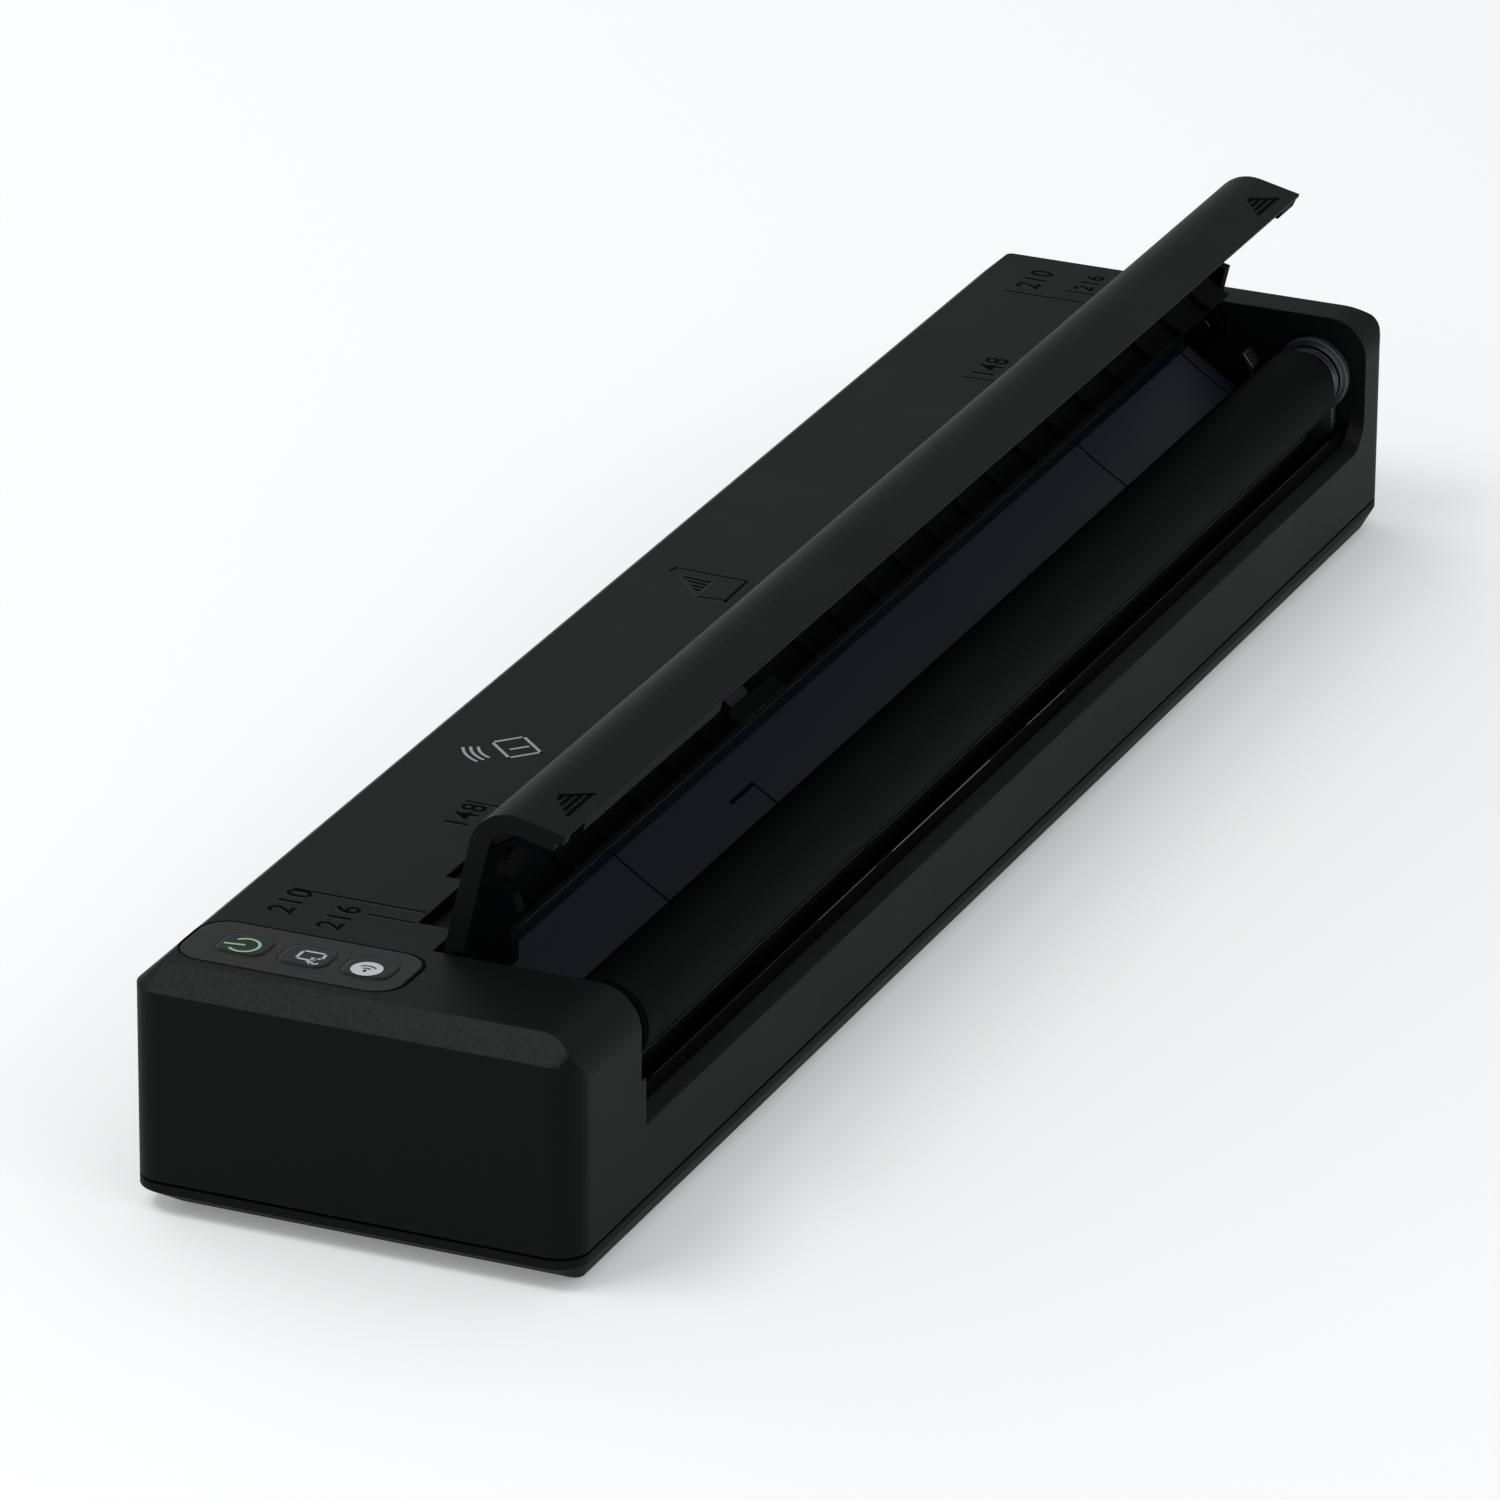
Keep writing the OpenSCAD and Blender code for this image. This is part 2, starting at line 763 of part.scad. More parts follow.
// Ramp that leads a sheet from the top plate down to the guide, and the partition under it
module ramp() {
    bank_tuck_h = (ramp_bank_z - ramp_z) * ramp_tuck / (ramp_bank_y - ramp_y) - over;
    x_prism(inlet_x0 - ramp_tuck, inlet_x1 + ramp_tuck) polygon([
        [ramp_toe_y, ramp_toe_z],
        [ramp_y, ramp_z],
        [ramp_bank_y + ramp_tuck, ramp_bank_z + bank_tuck_h],
        [ramp_bank_y + ramp_tuck, body_h - wall],
        [ramp_y + ramp_t, ramp_z - ramp_t],
        [ramp_y, ramp_z - ramp_t],
        [ramp_toe_y, ramp_toe_z - ramp_t]
    ]);
    partition(bay_near_x - fit, bay_far_x + fit, hinge_z - knuckle_r - play - fit);
    partition(inlet_x0 - ramp_tuck, inlet_x1 + ramp_tuck, ramp_toe_z - ramp_t / 2);
}

module partition(x0, x1, z1) {
    translate([x0, frame_y1 + fit, partition_z]) cube([x1 - x0, partition_t, z1 - partition_z]);
}

// Step at the foot of the near wall
module near_step() {
    top_z = cover_lip_z - play - fit;
    x_prism(bay_near_x - fit, bay_near_x + step_w) polygon([
        [front_y + wall, inner_wall_z],
        [front_y + wall, lip_z],
        [front_y, lip_z],
        [front_y, top_z],
        [roller_y, top_z],
        [roller_y, inner_wall_z]
    ]);
}

module panel_cut() {
    translate([0, 0, body_h - panel_t]) linear_extrude(panel_t + over) panel_outline(fit);
    for (i = [-1 : 1]) translate([key_x, key_mid_y + i * key_pitch, body_h - wall - over])
        linear_extrude(wall + over) key_outline(play);
}

// Holes for the roller shaft, the hinge pins and the motor
module drive_holes() {
    x_rod(shaft_d + 2 * play, bay_far_x - over, bay_far_x + skin_t + over, [roller_y, roller_z]);
    x_rod(motor_boss_d + fit, bay_far_x - over, bay_far_x + skin_t + over, pinion_at);
    x_rod(pin_d + 2 * running, bay_far_x - over, bay_far_x + skin_t + over, [hinge_y, hinge_z]);
    x_rod(pin_d + 2 * running, bay_near_x - wall - over, bay_near_x + over, [hinge_y, hinge_z]);
}

module socket_cut() {
    z = main_board_z + board_t + socket_h / 2;
    translate([socket_x, rear_y + over, z]) rotate([90, 0, 0]) linear_extrude(wall + 2 * over)
    round_span(
        [-socket_w / 2 - play, -socket_h / 2 - play],
        [socket_w / 2 + play, socket_h / 2 + play],
        socket_r + play
    );
}

// Screw bosses and the bosses that hold the key board
module housing_bosses() {
    for (p = screw_places) translate([p[0], p[1], boss_top_z]) difference() {
        cylinder(r = boss_r, h = body_h - wall - boss_top_z + fit);
        translate([0, 0, -over]) cylinder(d = screw_d, h = screw_l + over);
    }
    z = key_board_z + board_t;
    for (y = key_boss_ys) translate([panel_x, y, z]) cylinder(r = key_boss_r, h = body_h - wall + fit - z);
}

module panel_outline(margin) {
    round_span(
        [panel_x - panel_w / 2 - margin, panel_y - panel_l / 2 - margin],
        [panel_x + panel_w / 2 + margin, panel_y + panel_l / 2 + margin],
        panel_r + margin
    );
}

module key_outline(margin) {
    round_span(
        [-key_w / 2 - margin, -key_l / 2 - margin],
        [key_w / 2 + margin, key_l / 2 + margin],
        key_r + margin
    );
}

module control_panel() color("#313235")
    translate([0, 0, body_h - panel_t]) linear_extrude(panel_t) difference() {
        panel_outline(0);
        for (i = [-1 : 1]) translate([key_x, key_mid_y + i * key_pitch]) key_outline(play);
    }

// Key with a soft crown, a flange under the top plate and a stem over the mat
module key(i) {
    cap_z = body_h - wall - key_seat;
    translate([key_x, key_mid_y + i * key_pitch, 0]) {
        translate([0, 0, cap_z - fit])
            linear_extrude(wall + key_seat + key_rise - key_crown + fit) key_outline(0);
        hull() {
            translate([0, 0, body_h + key_rise - key_crown - sliver])
                linear_extrude(sliver) key_outline(0, $fn = hull_fn);
            translate([0, 0, body_h + key_rise - sliver])
                linear_extrude(sliver) key_outline(-key_crown, $fn = hull_fn);
        }
        translate([0, 0, key_flange_z1 - key_flange_t]) linear_extrude(key_flange_t)
        round_span(
            [-key_w / 2 - key_flange, -key_l / 2 - play - fit],
            [key_w / 2 + key_flange, key_l / 2 + play + fit],
            key_r
        );
        translate([0, 0, key_stem_z]) cylinder(r = key_stem_r, h = key_stem_h + fit);
    }
}

module power_key() color("#36383a") key(1);

module feed_key() color("#36383a") key(0);

module wireless_key() color("#36383a") key(-1);

module key_mat() color("#4a4d50") {
    translate([
        key_x - key_board_w / 2 + key_flange,
        key_mid_y - key_pitch - dome_r - play,
        key_board_z + board_t
    ])
    cube([key_board_w - 2 * key_flange, 2 * (key_pitch + dome_r + play), mat_t]);
    for (i = [-1 : 1]) translate([key_x, key_mid_y + i * key_pitch, mat_z1 - dome_h - fit])
        cylinder(r1 = dome_r, r2 = key_stem_r, h = dome_h + fit);
}

module key_board() color("#2f6b3c")
    translate([key_x - key_board_w / 2, key_board_y0, key_board_z]) cube([key_board_w, key_board_l, board_t]);

module main_board() color("#2f6b3c")
    translate([main_board_x0, main_board_y0, main_board_z])
    cube([main_board_x1 - main_board_x0, main_board_d, board_t]);

// Chips, two can capacitors and the cable connectors on the main board
module board_parts() color("#202224") {
    z = main_board_z + board_t;
    l = main_board_x1 - main_board_x0;
    for (c = chip_shares) translate([main_board_x0 + l * c[0], main_board_y0 + main_board_d * c[1], z])
        translate([-l * c[2] / 2, -l * c[2] / 2, 0]) cube([l * c[2], l * c[2], chip_h]);
    for (c = can_shares) translate([main_board_x0 + l * c[0], main_board_y0 + main_board_d * c[1], z])
        cylinder(r = can_r, h = can_h);
    translate([main_board_x0 + main_board_post_edge, main_board_y0 + play, z]) cube([plug_l, plug_w, plug_h]);
}

module charge_socket() color("#b9bcc0") {
    z = main_board_z + board_t + socket_h / 2;
    translate([socket_x, rear_y - socket_sink, z]) rotate([90, 0, 0]) {
        difference() {
            linear_extrude(socket_l)
            round_span([-socket_w / 2, -socket_h / 2], [socket_w / 2, socket_h / 2], socket_r);
            translate([0, 0, -over]) linear_extrude(socket_l - socket_wall_t + over)
            round_span(
                [-socket_w / 2 + socket_wall_t, -socket_h / 2 + socket_wall_t],
                [socket_w / 2 - socket_wall_t, socket_h / 2 - socket_wall_t],
                socket_r - socket_wall_t
            );
        }
        translate([-socket_w / 2 + socket_r, -socket_tab_t / 2, socket_wall_t])
        cube([socket_w - 2 * socket_r, socket_tab_t, socket_l - 2 * socket_wall_t]);
    }
}

// Two cells under one shrink wrap, drawn in round the end caps
module battery_pack() color("#3a5f8a") {
    x_rod(2 * battery_r, battery_x0 + battery_wrap_t, battery_x1 - battery_wrap_t, [battery_y, battery_z]);
    x_rod(2 * battery_r * (1 - battery_lip_share), battery_x0, battery_x1, [battery_y, battery_z]);
}

module mechanism_frame() color("#9a9da1") {
    difference() {
        translate([frame_x0, frame_y0, frame_z]) cube([frame_x1 - frame_x0, frame_y1 - frame_y0, plate_t]);
        for (p = frame_screw_places) translate([p[0], p[1], frame_z - over])
            cylinder(d = frame_screw_d + fit, h = plate_t + 2 * over);
    }
    for (x = [frame_x0, frame_x1 - plate_t]) x_prism(x, x + plate_t) difference() {
        union() {
            translate([roller_y, roller_z]) circle(cheek_r);
            span([frame_y0, frame_z], [frame_y0 + cheek_d, roller_z - cheek_drop]);
        }
        translate([roller_y, roller_z]) circle(d = bush_neck_d + 2 * running);
    }
}

module frame_screws() color("#7b7e82")
    for (p = frame_screw_places) translate([p[0], p[1], frame_top_z]) {
        cylinder(d = frame_screw_head_d, h = frame_screw_head_h);
        translate([0, 0, -frame_screw_l]) cylinder(d = frame_screw_d, h = frame_screw_l + fit);
    }

module print_head() color("#d8d6cf") {
    translate([head_x0, head_y0, sink_top_z]) cube([head_x1 - head_x0, head_d, head_t]);
    translate([rubber_x0, roller_y - glaze_w / 2, head_top_z - fit])
    cube([head_x1 - rubber_x0 - play, glaze_w, glaze_h + fit]);
}

// Aluminium bar under the head, with grooves along its underside
module heat_sink() color("#b4b7ba") difference() {
    translate([head_x0, head_y0, sink_z]) cube([head_x1 - head_x0, sink_d, sink_t]);
    for (i = [1 : sink_grooves])
        translate([
            head_x0 - over,
            head_y0 + sink_d * i / (sink_grooves + 1) - sink_groove / 2,
            sink_z - over
        ])
        cube([head_x1 - head_x0 + 2 * over, sink_groove, sink_groove + over]);
}

// Folded leaf springs between the frame and the heat sink
module head_springs() color("#8a8d90") {
    y0 = head_y0 + spring_inset;
    y1 = y0 + spring_d;
    z0 = frame_top_z;
    z1 = sink_z;
    for (s = spring_place_shares) {
        x = head_x0 + (head_x1 - head_x0) * s;
        x_prism(x - spring_w / 2, x + spring_w / 2) {
            span([y0, z0], [y1, z0 + spring_t]);
            span([y0, z1 - spring_t], [y1, z1]);
            polygon([
                [y1 - spring_limb, z0], [y1, z0], [y1, z0 + spring_t],
                [y0 + spring_limb, z1], [y0, z1], [y0, z1 - spring_t]
            ]);
        }
    }
}

module exit_guide() color("#1b1c1e")
    x_prism(bay_near_x + exit_near_gap, bay_far_x - exit_far_gap) polygon([
        [exit_y0, exit_z0],
        [exit_y0, exit_top_z],
        [exit_y0 + exit_lead, exit_top_z],
        [exit_y1, exit_top_z - exit_lead],
        [exit_y1, exit_z0]
    ]);

// Section of the paper guide, its hollow face on top
module guide_section() {
    face = concat([guide_rear], [for (i = [0 : guide_steps]) curve(i / guide_steps)]);
    back = [for (i = [len(face) - 1 : -1 : 0]) face[i] - [0, guide_t / cos(guide_slope)]];
    polygon(concat(face, back));
}

// Length of guide with ribs below it and two legs that stand on the frame
module guide_piece(x0, x1) {
    x_prism(x0, x1) guide_section();
    leg_y = frame_y1 - leg_inset;
    l = x1 - x0;
    rib_from = curve(guide_rib_shares[0]);
    rib_to = curve(guide_rib_shares[1]);
    for (s = l > two_leg_l ? leg_place_shares : [1 / 2]) {
        w = min(leg_w, l);
        translate([x0 + l * s - w / 2, leg_y - leg_d / 2, frame_top_z])
        cube([w, leg_d, curve(leg_top_share)[1] - guide_t - frame_top_z]);
    }
    n = floor(l / rib_pitch);
    for (i = [0 : 1 : n - 1]) {
        x = x0 + l * (i + 1 / 2) / n;
        x_prism(x - guide_rib_t / 2, x + guide_rib_t / 2) polygon([
            rib_from - [0, guide_t],
            rib_to - [0, guide_t],
            rib_to - [0, guide_rib_drop],
            [rib_from[0], rib_to[1] - guide_rib_drop]
        ]);
    }
}

module guide_near() color("#1d2433") guide_piece(guide_x0, guide_seam_a - guide_seam / 2);

// Middle length, with the slit that frees the sensor tongue
module guide_middle() color("#1d2433") difference() {
    guide_piece(guide_seam_a + guide_seam / 2, guide_seam_b - guide_seam / 2);
    slit_y = guide_front[0] + (guide_bend[0] - guide_front[0]) * tongue_run_share;
    translate([tongue_x - tongue_slit, guide_front[0] - over, guide_front[1] - slit_depth])
    cube([tongue_slit, slit_y - guide_front[0] + over, body_h]);
    translate([tongue_x - tongue_w, slit_y - tongue_slit, guide_front[1] - slit_depth])
    cube([tongue_w, tongue_slit, body_h]);
}

module guide_far() color("#1d2433") guide_piece(guide_seam_b + guide_seam / 2, guide_end_x - guide_seam / 2);

module guide_end() color("#1d2433") guide_piece(guide_end_x + guide_seam / 2, guide_x1);

// Sensor on a post below the tongue
module paper_sensor() color("#1f2022") {
    y = guide_front[0] + sensor_d / 2 + play;
    x = tongue_x - tongue_w / 2;
    z1 = curve(guide_rib_shares[1])[1] - guide_rib_drop - sensor_gap;
    translate([x - sensor_w / 2, frame_y1 - leg_inset - leg_d / 2, frame_top_z])
        cube([sensor_w, leg_d, z1 - frame_top_z]);
    translate([x - sensor_w / 2, y - sensor_d / 2, z1 - sensor_d])
    cube([sensor_w, frame_y1 - leg_inset - y + sensor_d / 2, sensor_d]);
}

// Bent clip that earths the far bush
module ground_clip() color("#b5b7b9") {
    x0 = guide_x1 + clip_gap;
    y0 = roller_y + clip_lead;
    z1 = roller_z + clip_rise;
    difference() {
        x_prism(x0, x0 + clip_w) {
            span([y0, frame_top_z], [y0 + clip_foot_l, frame_top_z + clip_t]);
            span([y0, frame_top_z], [y0 + clip_t, z1]);
            polygon([
                [y0, z1],
                [y0 + clip_t, z1 - clip_t],
                [y0 + clip_bend, z1 + clip_bend],
                [y0 + clip_bend - clip_t, z1 + clip_bend]
            ]);
        }
        translate([x0 + clip_w / 2, y0 - over, z1 - clip_bend])
            rotate([-90, 0, 0]) cylinder(d = clip_hole_d, h = clip_t + 2 * over);
    }
}

module bush(x0, x1, n0, n1) difference() {
    union() {
        x_rod(bush_d, x0, x1, [roller_y, roller_z]);
        x_rod(bush_neck_d, n0, n1, [roller_y, roller_z]);
    }
    x_rod(shaft_d + 2 * running, min(x0, n0) - over, max(x1, n1) + over, [roller_y, roller_z]);
}

module bush_near() color("#c8b27a")
    bush(frame_x0 + plate_t, frame_x0 + plate_t + bush_near_t, frame_x0, frame_x0 + plate_t + fit);

module bush_far() color("#c9cbcd")
    bush(frame_x1 - plate_t - bush_far_t, frame_x1 - plate_t, frame_x1 - plate_t - fit, frame_x1);

module platen_rubber() color("#1b1d1c") difference() {
    union() {
        x_rod(roller_d, rubber_x0 + rubber_edge, rubber_x1 - rubber_edge, [roller_y, roller_z]);
        x_rod(roller_d - 2 * rubber_edge, rubber_x0, rubber_x1, [roller_y, roller_z]);
    }
    x_rod(shaft_d, rubber_x0 - over, rubber_x1 + over, [roller_y, roller_z]);
}

module platen_shaft() color("#c4c6c8")
    x_rod(shaft_d, frame_x0, gear_x1 + axle_over, [roller_y, roller_z]);

// Spur gear at its place in the row, with a low hub towards the plate
module spur(teeth, at, turn, bore) {
    x_prism(gear_x0, gear_x1) translate(at) difference() {
        rotate(turn) polygon([for (i = [0 : teeth - 1]) each tooth_points(teeth, i)]);
        circle(d = bore);
    }
    x_prism(gear_x0 - hub_w, gear_x0 + fit) translate(at) difference() {
        circle(d = bore + 2 * axle_over + 2 * hub_w);
        circle(d = bore);
    }
}

module roller_gear() color("#e6e4dd") spur(platen_teeth, [roller_y, roller_z], 0, shaft_d);

module idler_gear_a() color("#e6e4dd") spur(idler_teeth, idler_a_at, idler_a_turn, axle_d + 2 * running);

module idler_gear_b() color("#e6e4dd") spur(idler_teeth, idler_b_at, idler_b_turn, axle_d + 2 * running);

module motor_pinion() color("#c9a95a") {
    spur(pinion_teeth, pinion_at, pinion_turn, motor_shaft_d - fit);
    x_rod(motor_shaft_d, bay_far_x - motor_bore_l, gear_x1, pinion_at);
}

// Plate behind the gears, with an axle for each idler
module gear_plate() color("#a5a8ab") {
    x0 = bay_far_x + skin_t;
    difference() {
        x_prism(x0, x0 + gear_plate_t)
        span(
            [roller_y + shaft_d / 2 + gear_plate_margin, pinion_at[1] - pinion_teeth * gear_m],
            [pinion_at[0] + gear_plate_end, idler_b_at[1] + gear_plate_margin]
        );
        x_rod(motor_boss_d + fit, x0 - over, x0 + gear_plate_t + over, pinion_at);
        x_rod(pin_d + 2 * play, x0 - over, x0 + gear_plate_t + over, [hinge_y, hinge_z]);
    }
    for (at = [idler_a_at, idler_b_at]) x_rod(axle_d, x0 + gear_plate_t - fit, gear_x1 + axle_over, at);
}

module stepper_motor() color("#a9acae") difference() {
    union() {
        x_rod(motor_d, bay_far_x - motor_l, bay_far_x - motor_flange_t + fit, pinion_at);
        x_prism(bay_far_x - motor_flange_t, bay_far_x) {
            for (s = [-1, 1]) translate(pinion_at + [s * motor_ear_span / 2, 0]) circle(motor_ear_r);
            span(
                pinion_at - [motor_ear_span / 2, motor_ear_r],
                pinion_at + [motor_ear_span / 2, motor_ear_r]
            );
        }
        x_rod(motor_boss_d, bay_far_x - fit, bay_far_x + skin_t + gear_plate_t / 2, pinion_at);
    }
    x_rod(motor_shaft_d + 2 * running, bay_far_x - motor_bore_l - play, bay_far_x + 2 * skin_t, pinion_at);
}

// Turns a child from the closed cover's place to the open one
module opened() {
    translate([0, hinge_y, hinge_z])
    rotate([-open_angle, 0, 0])
    translate([0, -hinge_y, -hinge_z]) children();
}

module shell_section(top, front) {
    difference() {
        fold(front_y, cover_lip_z, hinge_y, body_h, fold_r);
        fold(front_y + front, cover_lip_z - over, hinge_y + over, body_h - top, fold_r - front);
    }
}

// Cover shell with a thick band at its near end, a thin lip and a finger pull
module release_cover() color("#2d2e30") opened() {
    y1 = front_y + front_plate_t;
    px0 = cover_x0 + pull_x0;
    px1 = px0 + pull_l;
    difference() {
        x_prism(cover_x0, cover_x1) shell_section(cover_t, front_plate_t);
        x_prism(cover_x0 - over, cover_x1 + over) polygon([
            [y1 + over, cover_lip_z - over],
            [front_y + lip_edge_t, cover_lip_z - over],
            [front_y + lip_edge_t, cover_lip_z],
            [y1, cover_lip_z + lip_taper_h],
            [y1 + over, cover_lip_z + lip_taper_h]
        ]);
    }
    x_prism(cover_x0, cover_x0 + band_w) difference() {
        shell_section(band_t, band_t);
        span(
            [front_y + front_plate_t, cover_lip_z - over],
            [front_y + band_t + over, cover_lip_z + band_rise]
        );
        span([band_end_y, body_h - band_t - over], [hinge_y + over, inner_top_z]);
    }
    translate([0, front_y + lip_edge_t / 2, 0])
        rotate([-90, 0, 0]) linear_extrude(pull_t - lip_edge_t / 2) polygon([
        [px0, -cover_lip_z],
        [px1, -cover_lip_z],
        [px1 - pull_slant, -cover_lip_z - pull_h],
        [px0 + pull_slant, -cover_lip_z - pull_h]
    ]);
    translate([cover_x1 - hook_gap - hook_w, y1 - fit, cover_lip_z + band_rise / 2])
    cube([hook_w, hook_t + fit, hook_h]);
}

// Section of the moulding under the shell, hollowed round the roller
module inner_section(r) {
    difference() {
        polygon([
            [hinge_y - inner_rear_gap, inner_top_z],
            [hinge_y - inner_rear_gap, body_h - inner_rear_drop],
            [roller_y + tip_lead, roller_z + tip_rise],
            [roller_y + inner_front_lead, roller_z + tip_rise],
            [roller_y + inner_front_lead, inner_top_z]
        ]);
        translate([roller_y, roller_z]) circle(r);
    }
}

// End plate of the moulding, with its window and the knuckle round the hinge
module end_plate_section() {
    difference() {
        union() {
            polygon(concat(
                [[front_y + band_t + band_groove, body_h - band_t - band_groove - fold_r + band_t]],
                [for (p = strut_shares) cover_point(p)],
                [
                    [hinge_y, hinge_z],
                    [hinge_y, body_h - band_t - band_groove],
                    [front_y + fold_r, body_h - band_t - band_groove]
                ]
            ));
            translate([hinge_y, hinge_z]) circle(knuckle_r);
        }
        difference() {
            union() {
                translate(cover_point(hole_centre_shares)) circle(hole_r);
                polygon([for (p = hole_edge_shares) cover_point(p)]);
            }
            polygon([
                cover_point(strut_line_shares[0]),
                cover_point(strut_line_shares[1]),
                cover_point([strut_line_shares[1][0], strut_line_shares[0][1]])
            ]);
        }
        translate([hinge_y, hinge_z]) circle(d = pin_d);
        span([front_y, body_h - band_t - band_groove], [band_end_y, body_h + over]);
        span([front_y, inner_top_z], [hinge_y + fit, body_h + over]);
    }
}

// Moulding under the shell: a wedge with a pocket between each pair of ribs
module cover_inner() color("#151617") opened() {
    x0 = cover_x0 + inner_plate_t - fit;
    x1 = cover_x1 - inner_far_gap;
    n = floor((x1 - x0 - rib_side) / rib_pitch);
    ribs = [for (i = [0 : n]) x0 + fit + rib_side + i * rib_pitch];
    nosed = [for (x = ribs) if (abs(x - pad_x) > (pad_l + rib_t) / 2 + fit) x];
    difference() {
        x_prism(x0, x1) inner_section(face_r - nose_h);
        gaps(concat([x0 - over - rib_t / 2], nosed, [x1 + over + rib_t / 2]))
            translate([roller_y, roller_z]) circle(face_r);
        gaps(concat([x0 + rib_t / 2], ribs, [x1])) pocket_section();
    }
    x_prism(x1 - fit, cover_x1 - inner_plate_t + fit)
    span([roller_y + inner_front_lead, inner_top_z - back_t], [hinge_y - inner_rear_gap, inner_top_z]);
    x_prism(cover_x0, cover_x0 + inner_plate_t) end_plate_section();
    x_prism(cover_x1 - inner_plate_t, cover_x1) difference() {
        union() {
            translate([hinge_y, hinge_z]) circle(knuckle_r);
            span([hinge_y - web_d, inner_top_z - web_drop], [hinge_y, inner_top_z]);
        }
        translate([hinge_y, hinge_z]) circle(d = pin_d);
        span([front_y, inner_top_z], [hinge_y + fit, body_h + over]);
    }
}

// Prisms that fill the gaps of a row of ribs
module gaps(xs) {
    for (i = [0 : len(xs) - 2]) x_prism(xs[i] + rib_t / 2, xs[i + 1] - rib_t / 2) children();
}

// Hollow between two ribs, open downwards
module pocket_section() {
    difference() {
        span(
            [roller_y + inner_front_lead - over, roller_z + tip_rise - over],
            [hinge_y - inner_rear_gap - back_t, inner_top_z - back_t]
        );
        translate([roller_y, roller_z]) circle(face_r + face_t);
    }
}

// Piece of a thin shell round the roller's axis
module arc_strip(r1, t, x0, x1) difference() {
    x_rod(2 * r1, x0, x1, [roller_y, roller_z]);
    x_rod(2 * (r1 - t), x0 - over, x1 + over, [roller_y, roller_z]);
}

// Soft pad on the tip of the moulding
module cover_pad() color("#7d8a80") opened() intersection() {
    arc_strip(face_r, pad_t, pad_x - pad_l / 2 - over, pad_x + pad_l / 2 + over);
    translate([pad_x, roller_y, roller_z]) rotate([pad_angle, 0, 0]) rotate([90, 0, 90]) rotate([90, 0, 90])
    linear_extrude(2 * face_r) round_span([-pad_h / 2, -pad_l / 2], [pad_h / 2, pad_l / 2], pad_r);
}

// Leaf spring above the pad
module pad_spring() color("#b5b7b9") opened() intersection() {
    arc_strip(face_r, leaf_t, leaf_x - leaf_w / 2, leaf_x + leaf_w / 2);
    x_prism(leaf_x - leaf_w, leaf_x + leaf_w) translate([roller_y, roller_z]) polygon([
        [0, 0],
        polar(2 * face_r, leaf_angle - leaf_span / 2),
        polar(2 * face_r, leaf_angle + leaf_span / 2)
    ]);
}

module hinge_pin_near() color("#b9bcc0")
    x_rod(pin_d, bay_near_x - pin_reach, cover_x0 + inner_plate_t, [hinge_y, hinge_z]);

module hinge_pin_far() color("#b9bcc0")
    x_rod(pin_d, cover_x1 - inner_plate_t, bay_far_x + skin_t - fit, [hinge_y, hinge_z]);

base_tray();
rubber_feet();
housing_screws();
upper_housing();
control_panel();
power_key();
feed_key();
wireless_key();
key_mat();
key_board();
main_board();
board_parts();
charge_socket();
battery_pack();
mechanism_frame();
frame_screws();
print_head();
heat_sink();
head_springs();
exit_guide();
guide_near();
guide_middle();
guide_far();
guide_end();
paper_sensor();
ground_clip();
bush_near();
bush_far();
platen_rubber();
platen_shaft();
roller_gear();
gear_plate();
idler_gear_a();
idler_gear_b();
motor_pinion();
stepper_motor();
release_cover();
cover_inner();
cover_pad();
pad_spring();
hinge_pin_near();
hinge_pin_far();
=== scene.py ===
import math

import bmesh
import bpy
from mathutils import Matrix, Vector


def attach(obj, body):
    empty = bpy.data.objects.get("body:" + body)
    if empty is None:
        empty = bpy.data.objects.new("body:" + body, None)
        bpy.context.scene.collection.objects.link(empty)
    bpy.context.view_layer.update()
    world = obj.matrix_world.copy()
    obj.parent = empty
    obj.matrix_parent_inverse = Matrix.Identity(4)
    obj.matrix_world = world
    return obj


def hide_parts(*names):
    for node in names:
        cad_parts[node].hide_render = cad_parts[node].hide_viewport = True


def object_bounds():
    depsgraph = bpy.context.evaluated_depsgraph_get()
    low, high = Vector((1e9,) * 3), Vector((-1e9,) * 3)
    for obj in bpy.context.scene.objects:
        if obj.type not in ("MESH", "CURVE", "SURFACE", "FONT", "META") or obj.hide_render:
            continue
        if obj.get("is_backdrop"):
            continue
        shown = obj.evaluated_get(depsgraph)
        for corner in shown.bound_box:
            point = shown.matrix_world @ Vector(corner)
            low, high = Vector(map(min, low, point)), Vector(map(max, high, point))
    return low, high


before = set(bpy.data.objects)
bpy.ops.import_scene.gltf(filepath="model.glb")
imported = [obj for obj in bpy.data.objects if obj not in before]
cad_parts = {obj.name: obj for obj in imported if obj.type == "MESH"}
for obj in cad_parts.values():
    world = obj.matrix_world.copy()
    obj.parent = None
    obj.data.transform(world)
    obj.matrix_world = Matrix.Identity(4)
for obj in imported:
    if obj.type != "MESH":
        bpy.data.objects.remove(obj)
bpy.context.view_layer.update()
MM = 0.001


# Studio: a pale paper floor in a dim grey room, under three soft lamps.
# The camera stands off the key end and looks along the printer and a little down,
# through a long lens.
def put(tree, kind, inputs=None, **settings):
    """Adds one node, sets it up, and gives each named input a value or a link."""
    node = tree.nodes.new(kind)
    for name, value in settings.items():
        setattr(node, name, value)
    for name, value in (inputs or {}).items():
        if isinstance(value, bpy.types.NodeSocket):
            tree.links.new(value, node.inputs[name])
        else:
            node.inputs[name].default_value = value
    return node


def maths(tree, operation, *values):
    """One sum on its values."""
    return put(tree, "ShaderNodeMath", dict(enumerate(values)), operation=operation).outputs[0]


